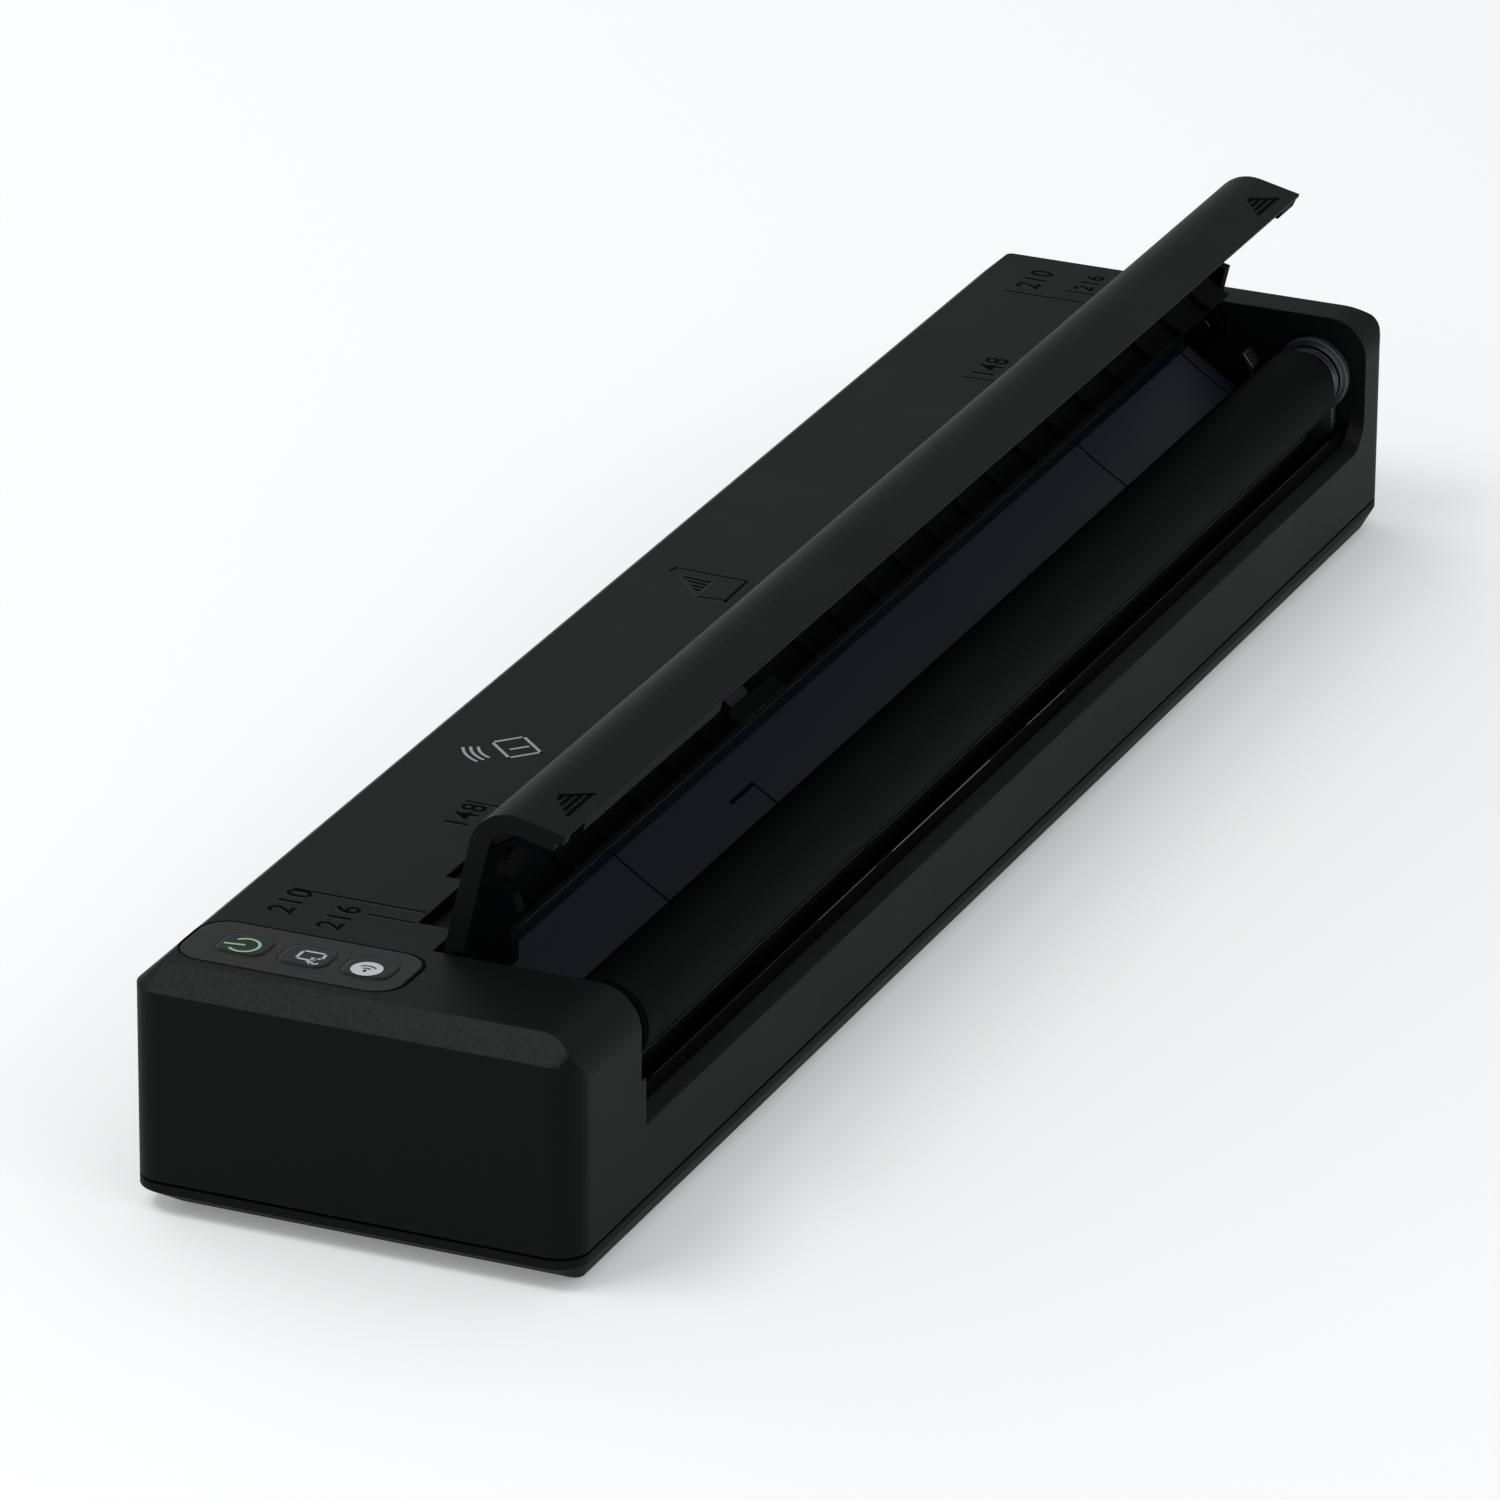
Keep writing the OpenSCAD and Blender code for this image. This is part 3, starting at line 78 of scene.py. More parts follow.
def noise(tree, place, scale, detail, roughness=0.5):
    """Cloudy value over a piece, scale in waves per metre."""
    pattern = put(tree, "ShaderNodeTexNoise", {
        "Vector": place,
        "Scale": scale,
        "Detail": detail,
        "Roughness": roughness,
    })
    return pattern.outputs["Fac"]


def mix(tree, share, first, second):
    """Colour between two others."""
    blend = put(tree, "ShaderNodeMix", {"Factor": share, "A": first, "B": second}, data_type="RGBA")
    return blend.outputs["Result"]


def blank_material(name):
    material = bpy.data.materials.new(name)
    material.use_nodes = True
    material.node_tree.nodes.clear()
    return material


def placed(name, data):
    """Puts new data in the scene, unturned and unscaled at the origin."""
    piece = bpy.data.objects.new(name, data)
    bpy.context.scene.collection.objects.link(piece)
    return piece


def plain_mesh(name, points, faces):
    """Piece from points in millimetres."""
    mesh = bpy.data.meshes.new(name)
    mesh.from_pydata([Vector(p) * MM for p in points], [], faces)
    mesh.update()
    return placed(name, mesh)


camera = placed("camera", bpy.data.cameras.new("camera"))
camera.data.lens = 255.8
camera.data.sensor_width = 36
camera.data.clip_start = 0.05
camera.data.clip_end = 40
camera_spot = Vector((-1091.7, -463.5, 514.0)) * MM
camera_back = Vector((-0.8456, -0.3645, 0.3901)).normalized()
camera_right = Vector((0.3987, -0.9171, 0.0074))
camera_right = (camera_right - camera_back * camera_right.dot(camera_back)).normalized()
camera_up = camera_back.cross(camera_right)
camera_turn = Matrix((camera_right, camera_up, camera_back)).transposed().to_4x4()
camera.matrix_world = Matrix.Translation(camera_spot) @ camera_turn
bpy.context.scene.camera = camera
bpy.context.scene.view_settings.view_transform = "Standard"

floor_half = 6000
floor = plain_mesh(
    "floor",
    [(x * floor_half, y * floor_half, 0) for x, y in ((-1, -1), (1, -1), (1, 1), (-1, 1))],
    [(0, 1, 2, 3)],
)
paper_floor = blank_material("paper_floor")
tree = paper_floor.node_tree
spot = put(tree, "ShaderNodeTexCoord").outputs["Object"]
cloud = noise(tree, spot, scale=3.0, detail=2.0)
shade = mix(tree, cloud, (0.86, 0.86, 0.86, 1), (0.88, 0.88, 0.875, 1))
sheet_white = put(tree, "ShaderNodeBsdfDiffuse", {"Color": shade})
ray = put(tree, "ShaderNodeLightPath").outputs
seen = maths(tree, "MAXIMUM", ray["Is Camera Ray"], ray["Is Glossy Ray"])
seen = maths(tree, "MAXIMUM", seen, ray["Is Transmission Ray"])
floor_glow = 0.2
glow = maths(tree, "MULTIPLY", seen, floor_glow)
lift = put(tree, "ShaderNodeEmission", {"Color": (1, 1, 1, 1), "Strength": glow})
both = put(tree, "ShaderNodeAddShader", {0: sheet_white.outputs[0], 1: lift.outputs[0]})
put(tree, "ShaderNodeOutputMaterial", {"Surface": both.outputs[0]})
floor.data.materials.append(paper_floor)
floor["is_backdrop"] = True

room = bpy.data.worlds.new("room")
bpy.context.scene.world = room
room.use_nodes = True
room.node_tree.nodes.clear()
room_light = put(room.node_tree, "ShaderNodeBackground", {"Color": (0.96, 0.98, 1.0, 1), "Strength": 0.62})
put(room.node_tree, "ShaderNodeOutputWorld", {"Surface": room_light.outputs[0]})


def soft_lamp(name, watts, size, place, aim=(0, 0, 15)):
    """Broad lamp that looks at the printer's middle."""
    lamp = bpy.data.lights.new(name, "AREA")
    lamp.energy = watts
    lamp.shape = "RECTANGLE"
    lamp.size, lamp.size_y = size[0] * MM, size[1] * MM
    holder = placed(name, lamp)
    holder.location = Vector(place) * MM
    holder.rotation_mode = "QUATERNION"
    holder.rotation_quaternion = (Vector(aim) - Vector(place)).to_track_quat("-Z", "Y")


soft_lamp("overhead_lamp", watts=3.0, size=(500, 300), place=(-420, 380, 900))
soft_lamp("front_lamp", watts=0.9, size=(700, 400), place=(-500, -900, 700))
soft_lamp("rear_lamp", watts=1.6, size=(900, 300), place=(500, 900, 500))


# Moulded plastics: black ABS with the fine grain of a spark-eroded tool, a little brighter
# where hands have rubbed its edges. Three shared effects give the grain with its mottled painted
# highlight, the worn edge and the smudges, and every moulding sets its own sizes in them.
def effect(name, inputs, outputs):
    """An empty shader group with its named inputs and outputs."""
    group = bpy.data.node_groups.new(name, "ShaderNodeTree")
    for label, kind, value in inputs:
        socket = group.interface.new_socket(label, in_out="INPUT", socket_type=kind)
        if value is not None:
            socket.default_value = value
    for label, kind in outputs:
        group.interface.new_socket(label, in_out="OUTPUT", socket_type=kind)
    return group, put(group, "NodeGroupInput").outputs, put(group, "NodeGroupOutput").inputs


def stretched(tree, value, low, high):
    """The part of a value between low and high, spread over 0 to 1."""
    spread = put(tree, "ShaderNodeMapRange", {"Value": value, "From Min": low, "From Max": high})
    return spread.outputs[0]


FLOAT, VECTOR = "NodeSocketFloat", "NodeSocketVector"

# Tool grain: the bumps of the spark-eroded tool, and a mottle that lightens the colour as a painted
# highlight.
tool_grain_and_glint, given, result = effect(
    "tool_grain_and_glint",
    [("Vector", VECTOR, None), ("Grains per metre", FLOAT, 4000.0), ("Painted glint", FLOAT, 0.2)],
    [("Height", FLOAT), ("Painted fleck", FLOAT)],
)
mottle_share = 0.6
pits = put(tool_grain_and_glint, "ShaderNodeTexVoronoi", {
    "Vector": given["Vector"],
    "Scale": given["Grains per metre"],
}, feature="F1")
swell = noise(tool_grain_and_glint, given["Vector"], given["Grains per metre"], detail=3.0)
height = maths(tool_grain_and_glint, "MULTIPLY", pits.outputs["Distance"], swell)
coarse = maths(tool_grain_and_glint, "MULTIPLY", given["Grains per metre"], mottle_share)
mottle = noise(tool_grain_and_glint, given["Vector"], coarse, detail=6.0, roughness=0.7)
bright = stretched(tool_grain_and_glint, mottle, low=0.1, high=0.85)
painted_fleck = maths(tool_grain_and_glint, "MULTIPLY", bright, given["Painted glint"])
tool_grain_and_glint.links.new(height, result["Height"])
tool_grain_and_glint.links.new(painted_fleck, result["Painted fleck"])

worn_edge, given, result = effect(
    "worn_edge",
    [("Vector", VECTOR, None), ("Radius", FLOAT, 0.0003), ("Amount", FLOAT, 1.0)],
    [("Edge", FLOAT), ("Normal", VECTOR)],
)
softened = put(worn_edge, "ShaderNodeBevel", {"Radius": given["Radius"]}, samples=6).outputs[0]
facing = put(worn_edge, "ShaderNodeNewGeometry").outputs["Normal"]
agree = put(worn_edge, "ShaderNodeVectorMath", {0: softened, 1: facing}, operation="DOT_PRODUCT")
bend = stretched(worn_edge, agree.outputs["Value"], low=0.995, high=0.85)
patchy = noise(worn_edge, given["Vector"], scale=700.0, detail=4.0)
patchy = stretched(worn_edge, patchy, low=0.3, high=0.7)
rubbed = maths(worn_edge, "MULTIPLY", bend, patchy)
rubbed = maths(worn_edge, "MULTIPLY", rubbed, given["Amount"])
worn_edge.links.new(rubbed, result["Edge"])
worn_edge.links.new(softened, result["Normal"])

handled, given, result = effect(
    "handled",
    [
        ("Vector", VECTOR, None),
        ("Roughness", FLOAT, 0.5),
        ("Spread", FLOAT, 0.1),
        ("Marks per metre", FLOAT, 40.0),
    ],
    [("Roughness", FLOAT)],
)
smudge = noise(handled, given["Vector"], given["Marks per metre"], detail=5.0, roughness=0.62)
centred = maths(handled, "SUBTRACT", smudge, 0.5)
centred = maths(handled, "MULTIPLY_ADD", centred, given["Spread"], given["Roughness"])
handled.links.new(centred, result["Roughness"])


def shared(tree, group, inputs):
    """Places a shared effect in a material, with its inputs set."""
    return put(tree, "ShaderNodeGroup", inputs, node_tree=group).outputs


def tint(code):
    """Linear colour of a #rrggbb code."""
    parts = [int(code[i:i + 2], 16) / 255 for i in (1, 3, 5)]
    return tuple(p / 12.92 if p <= 0.04045 else ((p + 0.055) / 1.055) ** 2.4 for p in parts) + (1.0,)


def paler(colour, gain, lift=0.0):
    """The same colour made stronger or weaker, and lifted."""
    return tuple(min(1.0, gain * c + lift) for c in colour[:3]) + (1.0,)


def moulded(
    name, colour, roughness=0.55, grains=3600.0, depth=0.06, painted_sparkle=0.0,
    radius=0.0003, wear=0.25, specular=0.12, spread=0.12, painted_glint_normal=None,
):
    """Moulded plastic: grain, rubbed edges, handling marks. On faces that look along the given direction,
    a mottled painted highlight lightens the colour.
    """
    material = blank_material(name)
    tree = material.node_tree
    where = put(tree, "ShaderNodeTexCoord").outputs
    place = where["Object"]
    grain = shared(tree, tool_grain_and_glint, {"Vector": place, "Grains per metre": grains, "Painted glint": painted_sparkle})
    edge = shared(tree, worn_edge, {"Vector": place, "Radius": radius, "Amount": wear})
    touch = shared(tree, handled, {"Vector": place, "Roughness": roughness, "Spread": spread})
    base = tint(colour)
    # Painted highlight: the grain's mottle lightens the colour, but only on faces that look along the
    # given direction.
    painted_fleck = grain["Painted fleck"]
    if painted_glint_normal:
        lean = put(tree, "ShaderNodeVectorMath", {0: where["Normal"], 1: painted_glint_normal}, operation="DOT_PRODUCT")
        glint_band = stretched(tree, lean.outputs["Value"], low=0.9, high=0.98)
        painted_fleck = maths(tree, "MULTIPLY", glint_band, painted_fleck)
    flow = noise(tree, place, scale=22.0, detail=3.0)
    body = mix(tree, flow, base, paler(base, gain=1.12))
    painted_speck = mix(tree, painted_fleck, body, paler(base, gain=1.0, lift=0.075))
    worn = mix(tree, edge["Edge"], painted_speck, paler(base, gain=1.4, lift=0.02))
    bump = put(tree, "ShaderNodeBump", {
        "Height": grain["Height"],
        "Strength": depth,
        "Distance": 0.0002,
        "Normal": edge["Normal"],
    })
    surface = put(tree, "ShaderNodeBsdfPrincipled", {
        "Base Color": worn,
        "Roughness": touch["Roughness"],
        "Specular IOR Level": specular,
        "Normal": bump.outputs["Normal"],
    })
    put(tree, "ShaderNodeOutputMaterial", {"Surface": surface.outputs[0]})
    return material


def dress(material, *nodes):
    """Gives CAD nodes their finish."""
    for node in nodes:
        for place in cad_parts[node].material_slots:
            place.material = material


# Base tray: the black moulding that closes the printer from below, screwed up into the housing.
# A bevel runs round its foot. Along the front the bevel is drawn out a little wider than in
# the CAD tray, so that it meets the table as the real one does.
tray_black = moulded(
    "tray_black", "#101312", roughness=0.55, grains=2600.0, depth=0.09, wear=0.2, specular=0.05,
)


def recut(name, node, material):
    """Copies a CAD node, in its finish, for a small change of form."""
    piece = placed(name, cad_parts[node].data.copy())
    for place in range(len(piece.data.materials)):
        piece.data.materials[place] = material
    return piece


tray_shell = recut("tray_shell", "base_tray", tray_black)
bevel_foot, bevel_head, bevel_out = 0.4, 2.8, 0.8
tray_front_y = -24
for vertex in tray_shell.data.vertices:
    rise = vertex.co.z / MM
    if vertex.co.y / MM < tray_front_y and rise < bevel_head:
        vertex.co.y -= bevel_out * (bevel_head - rise) / (bevel_head - bevel_foot) * MM
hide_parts("base_tray")
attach(tray_shell, "chassis")

# Rubber feet: four soft black pads of moulded rubber.
# They are pressed into recesses in the underside of the tray.
foot_rubber = moulded(
    "foot_rubber", "#0c0c0c", roughness=0.85, grains=5200.0, depth=0.12, wear=0.1, specular=0.15,
)
dress(foot_rubber, "rubber_feet")


# Screws: cold-headed steel with rolled threads, plated with zinc.
# One set holds the tray to the housing, the other holds the mechanism frame.
def metal(
    name, colour, roughness, streak=(900.0, 900.0, 900.0), depth=0.05,
    radius=0.00015, spread=0.2, dull=0.3,
):
    """Bare or plated metal, with the fine lines of its making along one direction."""
    material = blank_material(name)
    tree = material.node_tree
    place = put(tree, "ShaderNodeTexCoord").outputs["Object"]
    along = put(tree, "ShaderNodeMapping", {"Vector": place, "Scale": streak}).outputs["Vector"]
    lines = noise(tree, along, scale=4.0, detail=4.0)
    edge = shared(tree, worn_edge, {"Vector": place, "Radius": radius, "Amount": 0.4})
    touch = shared(tree, handled, {
        "Vector": place,
        "Roughness": roughness,
        "Spread": spread,
        "Marks per metre": 160.0,
    })
    base = tint(colour)
    bump = put(tree, "ShaderNodeBump", {
        "Height": lines,
        "Strength": depth,
        "Distance": 0.0001,
        "Normal": edge["Normal"],
    })
    surface = put(tree, "ShaderNodeBsdfPrincipled", {
        "Base Color": mix(tree, lines, paler(base, gain=1 - dull), base),
        "Metallic": 1.0,
        "Roughness": touch["Roughness"],
        "Normal": bump.outputs["Normal"],
    })
    put(tree, "ShaderNodeOutputMaterial", {"Surface": surface.outputs[0]})
    return material


zinc_steel = metal("zinc_steel", "#9a9da1", 0.35)
dress(zinc_steel, "housing_screws", "frame_screws")

# Upper housing: one black moulding with three bevelled top edges, its two end blocks, the bay
# over the roller and the sheet inlet. The grain of its tool is finer than the tray's. On the bevel
# over the key end, a mottled painted highlight lightens its colour.
housing_black = moulded(
    "housing_black", "#101312", roughness=0.5, grains=3000.0, depth=0.1, painted_sparkle=0.36,
    wear=0.2, specular=0.05, painted_glint_normal=(-0.68, 0.0, 0.73),
)
dress(housing_black, "upper_housing")

# Width marks in the top plate: a guide line for each sheet's edge with the width beside it
# in millimetres, sunk by the mould. The strokes are near black, a painted shade in the sunk lines,
# and a thin pale rim on one side of each stroke is a painted highlight on the edge of the sunk line.
top_z = 30.0
ink_rise = 0.02
# Near-black strokes: painted shade in sunk lines and grooves, and the dark arcs on the wireless disc.
groove_shade_and_dark_lines = moulded(
    "groove_shade_and_dark_lines", "#020202", roughness=0.8, grains=5000.0, depth=0.1, wear=0.0, specular=0.02,
)
# Pale strokes: painted highlight on edges, beside the sunk marks and along the exit guide.
painted_rim_highlight = moulded("painted_rim_highlight", "#232524", roughness=0.6, grains=5000.0, depth=0.05, wear=0.0)


def stroke(points, width, z=top_z, closed=False):
    """Flat line of even width through points: its corners and faces."""
    loop = list(points) + ([points[0]] if closed else [])
    corners, faces = [], []
    for a, b in zip(loop, loop[1:]):
        a, b = Vector(a), Vector(b)
        along = (b - a).normalized() * width / 2
        side = Vector((-along.y, along.x))
        start = len(corners)
        for p in (a - along - side, b + along - side, b + along + side, a - along + side):
            corners.append((p.x, p.y, z + ink_rise))
        faces.append((start, start + 1, start + 2, start + 3))
    return corners, faces


def plain_copy(holder):
    """The plain mesh that an object shows. The object itself is removed."""
    bpy.context.view_layer.update()
    shown = holder.evaluated_get(bpy.context.evaluated_depsgraph_get())
    mesh = bpy.data.meshes.new_from_object(shown)
    bpy.data.objects.remove(holder)
    return mesh


size_per_height, figure_gap, figure_bolder = 1.37, 1.12, 0.07


def figure(text, height, left, base):
    """Plain figures, lying on the plate with their tops towards the rear."""
    curve = bpy.data.curves.new("figure", "FONT")
    curve.body = text
    curve.size = height * size_per_height * MM
    curve.space_character = figure_gap
    curve.offset = figure_bolder * MM
    mesh = plain_copy(placed("figure", curve))
    bpy.data.curves.remove(curve)
    start = min(v.co.x for v in mesh.vertices)
    corners = [
        ((v.co.x - start) / MM + left, v.co.y / MM + base, top_z + ink_rise) for v in mesh.vertices
    ]
    faces = [tuple(p.vertices) for p in mesh.polygons]
    bpy.data.meshes.remove(mesh)
    return corners, faces


def printed(name, parts, material, body="chassis", shift=(0, 0, 0)):
    """One piece from several flat parts."""
    corners, faces = [], []
    for part_corners, part_faces in parts:
        start = len(corners)
        corners += [tuple(c + s for c, s in zip(corner, shift)) for corner in part_corners]
        faces += [tuple(start + i for i in face) for face in part_faces]
    piece = plain_mesh(name, corners, faces)
    piece.data.materials.append(material)
    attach(piece, body)
    return piece


figure_h, small_figure_h = 3.1, 2.6
line_w = 0.4
line_foot = 3.3


def width_mark(text, line_x, line_y, left, base, height=figure_h):
    """Guide line at a sheet's edge, with the sheet's width beside it."""
    return [
        stroke([(line_x, line_y[0]), (line_x, line_y[1])], line_w),
        figure(text, height, left, base),
    ]


width_marks = (
    width_mark("210", line_x=-100.6, line_y=(19.6, line_foot), left=-107.4, base=17.0)
    + width_mark("216", line_x=-103.7, line_y=(8.9, line_foot), left=-109.2, base=10.1)
    + width_mark("148", line_x=-69.9, line_y=(12.4, 7.6), left=-76.4, base=9.4)
    + width_mark("210", line_x=111.2, line_y=(19.4, line_foot), left=113.2, base=16.1)
    + width_mark("216", line_x=114.4, line_y=(12.2, 8.6), left=115.4, base=9.4, height=small_figure_h)
    + width_mark("148", line_x=80.1, line_y=(12.4, 7.6), left=81.9, base=9.3)
)
highlight_shift = (-0.26, 0, -0.008)
printed("width_marks", width_marks, groove_shade_and_dark_lines)
printed("width_mark_highlights", width_marks, painted_rim_highlight, shift=highlight_shift)

# Page mark at the middle of the top plate: a page with lines of print and its corner turned.
# It shows which way up the sheet goes in, and is sunk by the mould like the width marks, with the same
# painted shade in its strokes and painted highlight beside them.
page_edge = [(-1.7, 13.2), (-1.5, 9.75), (5.3, 9.95), (5.65, 19.5), (4.4, 19.8)]
page_corner = [(3.9, 18.5), (3.6, 13.6), (-1.9, 13.5)]
page_edge_w, page_corner_w, print_line_w = 0.38, 0.22, 0.5
print_foot_y, print_lean = 14.1, 0.2
page_mark = [stroke(page_edge, page_edge_w)]
for foot_x, head_y in ((3.1, 17.2), (2.1, 16.1), (1.1, 15.2), (0.1, 14.6)):
    page_mark.append(stroke([(foot_x + print_lean, head_y), (foot_x, print_foot_y)], print_line_w))
printed("page_mark", page_mark, groove_shade_and_dark_lines)
printed("page_mark_highlights", page_mark, painted_rim_highlight, shift=highlight_shift)
# The pale outline of the turned corner is a painted highlight on its edge.
printed("page_corner", [stroke(page_corner, page_corner_w, closed=True)], painted_rim_highlight)

# Touch mark: a tilted card with three waves beside it, on the top plate.
# It is pad-printed in pale ink on the finished housing.
pale_ink = moulded(
    "pale_ink", "#8f9394", roughness=0.5, grains=6000.0, depth=0.04, wear=0.0, specular=0.3,
)


def arc(centre, radius, start, end, width, steps=10):
    """Flat arc, in degrees."""
    corners = []
    for i in range(steps + 1):
        a = math.radians(start + (end - start) * i / steps)
        for r in (radius - width / 2, radius + width / 2):
            corners.append((centre[0] + r * math.cos(a), centre[1] + r * math.sin(a), top_z + ink_rise))
    return corners, [(j, j + 1, j + 3, j + 2) for j in range(0, 2 * steps, 2)]


card = [(-52.9, 17.0), (-49.9, 14.3), (-53.3, 10.6), (-56.3, 13.3)]
card_strip = [(-53.9, 14.1), (-52.4, 12.7)]
card_w, wave_w = 0.4, 0.36
wave_centre = (-53.2, 13.9)
touch_mark = [stroke(card, card_w, closed=True), stroke(card_strip, card_w)]
for radius, start, end in ((4.3, 112, 160), (5.2, 112, 160), (6.1, 114, 158)):
    touch_mark.append(arc(wave_centre, radius, start, end, wave_w))
printed("touch_mark", touch_mark, pale_ink)

# Control panel: a thin satin film with windows for the three keys, punched from sheet.
# It is glued in a shallow place in the top plate, which leaves a groove round it. The groove's shade is
# painted as a thin near-black film.
panel_satin = moulded(
    "panel_satin", "#121414", roughness=0.45, grains=6500.0, depth=0.04, radius=0.0004, wear=0.1,
)
dress(panel_satin, "control_panel")


def rounded(centre, size, radius, steps=8):
    """Corner points of a rounded rectangle."""
    points = []
    for quarter, (sx, sy) in enumerate(((1, 1), (-1, 1), (-1, -1), (1, -1))):
        for i in range(steps + 1):
            a = math.radians(90 * (quarter + i / steps))
            points.append((
                centre[0] + sx * (size[0] / 2 - radius) + radius * math.cos(a),
                centre[1] + sy * (size[1] / 2 - radius) + radius * math.sin(a),
            ))
    return points


def film(name, loops, low, high, material):
    """A sheet with holes: the first loop is its edge, the others are cut out."""
    curve = bpy.data.curves.new(name, "CURVE")
    curve.dimensions = "2D"
    curve.fill_mode = "BOTH"
    curve.extrude = (high - low) / 2 * MM
    for loop in loops:
        line = curve.splines.new("POLY")
        line.points.add(len(loop) - 1)
        for point, (x, y) in zip(line.points, loop):
            point.co = (x * MM, y * MM, 0, 1)
        line.use_cyclic_u = True
    mesh = plain_copy(placed(name, curve))
    bpy.data.curves.remove(curve)
    mesh.transform(Matrix.Translation((0, 0, (low + high) / 2 * MM)))
    mesh.materials.clear()
    mesh.materials.append(material)
    piece = placed(name, mesh)
    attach(piece, "chassis")


key_x = -117.2
power_y, feed_y, wireless_y = 17.6, 9.9, 2.2
key_w, key_l = 5.2, 6.2
window_play, window_corner = 0.06, 1.63
film_thick, groove_thick = 0.07, 0.015
panel_edge = rounded(centre=(-117.35, 10.7), size=(10.9, 27.2), radius=3.4)
groove_edge = rounded(centre=(-117.15, 10.7), size=(11.4, 28.1), radius=3.8)
window_size = (key_w + window_play, key_l + window_play)
windows = [rounded((key_x, y), window_size, window_corner) for y in (power_y, feed_y, wireless_y)]
film("panel_film", [panel_edge] + windows, top_z, top_z + film_thick, panel_satin)
film("panel_groove_shade", [groove_edge, panel_edge], top_z, top_z + groove_thick, groove_shade_and_dark_lines)

# Keys: three low moulded caps with soft edges, each on its own stem over the key mat.
# The caps of the CAD keys are squashed here to the small height that they show over the film.
key_soft = moulded(
    "key_soft", "#121414", roughness=0.45, grains=7000.0, depth=0.04, radius=0.0006, wear=0.12,
)
key_top = 30.2
cad_crown = 0.5
for node, body in (
    ("power_key", "power_button"),
    ("feed_key", "feed_button"),
    ("wireless_key", "wireless_button"),
):
    cap = recut(node + "_cap", node, key_soft)
    for vertex in cap.data.vertices:
        if vertex.co.z > top_z * MM:
            vertex.co.z = top_z * MM + (vertex.co.z - top_z * MM) * (key_top - top_z) / cad_crown
    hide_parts(node)
    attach(cap, body)


# Signs on the keys. The power sign is green, a clear window moulded into its cap and lit from behind.
# The feed sign and the wireless disc are white, and their faint glow is painted light.
def lit(name, colour, strength):
    """Ink that glows and is a little uneven in tone. On the power sign the glow is its light from behind;
    on the white signs it is painted light.
    """
    material = blank_material(name)
    tree = material.node_tree
    place = put(tree, "ShaderNodeTexCoord").outputs["Object"]
    uneven = noise(tree, place, scale=500.0, detail=2.0)
    base = tint(colour)
    body = mix(tree, uneven, paler(base, gain=0.8), base)
    bump = put(tree, "ShaderNodeBump", {"Height": uneven, "Strength": 0.05, "Distance": 0.0001})
    surface = put(tree, "ShaderNodeBsdfPrincipled", {
        "Base Color": body,
        "Roughness": 0.4,
        "Emission Color": body,
        "Emission Strength": strength,
        "Normal": bump.outputs["Normal"],
    })
    put(tree, "ShaderNodeOutputMaterial", {"Surface": surface.outputs[0]})
    return material


green_window = lit("green_window", "#7db380", strength=0.15)
white_sign_glow = lit("white_sign_glow", "#a9acad", strength=0.1)
disc_white = lit("disc_white", "#b9bdbd", strength=0.1)


def at(centre, parts):
    """Moves flat parts to a key and onto its crown."""
    moved = []
    for corners, faces in parts:
        moved.append(([(x + centre[0], y + centre[1], key_top + ink_rise) for x, y, z in corners], faces))
    return moved


def disc(radius, steps=40):
    """Flat round."""
    turns = [2 * math.pi * i / steps for i in range(steps)]
    corners = [(radius * math.cos(a), radius * math.sin(a), top_z) for a in turns]
    return corners, [tuple(range(steps))]


sign_w = 0.36
sign_x = key_x - 0.3
power_ring = arc((0, 0), radius=1.75, start=133, end=410, width=sign_w, steps=24)
power_bar = stroke([(0.05, 0.1), (-0.3, 2.2)], sign_w)
printed("power_sign", at((sign_x, power_y), [power_ring, power_bar]), green_window, "power_button")

arrow_shaft_w, arrow_head_w = 0.4, 0.32
feed_sheet = [(-0.7, 1.5), (1.4, 1.5), (1.45, -1.25), (0.1, -1.4), (-0.2, -0.7), (-0.75, -0.6)]
feed_parts = [
    stroke(feed_sheet, sign_w, closed=True),
    stroke([(-0.1, -0.3), (-1.65, -0.75)], arrow_shaft_w),
    stroke([(-1.1, -0.1), (-1.7, -0.8), (-1.25, -1.35)], arrow_head_w),
]
feed_centre = (sign_x, feed_y - 0.5)
printed("feed_sign", at(feed_centre, feed_parts), white_sign_glow, "feed_button")

wireless_centre = (sign_x - 0.2, wireless_y + 0.2)
disc_r, ripple_w, ripple_half_turn = 1.85, 0.24, 45
ripple_centre = (-0.55, 0)
ripples = [
    arc(ripple_centre, 0.65, -ripple_half_turn, ripple_half_turn, ripple_w, steps=6),
    arc(ripple_centre, 1.3, -ripple_half_turn, ripple_half_turn, ripple_w, steps=8),
    stroke([(-0.7, 0), (-0.5, 0)], sign_w),
]
printed("wireless_disc", at(wireless_centre, [disc(disc_r)]), disc_white, "wireless_button")
ripple_sign = printed("wireless_sign", at(wireless_centre, ripples), groove_shade_and_dark_lines, "wireless_button")
for vertex in ripple_sign.data.vertices:
    vertex.co.z += ink_rise * MM

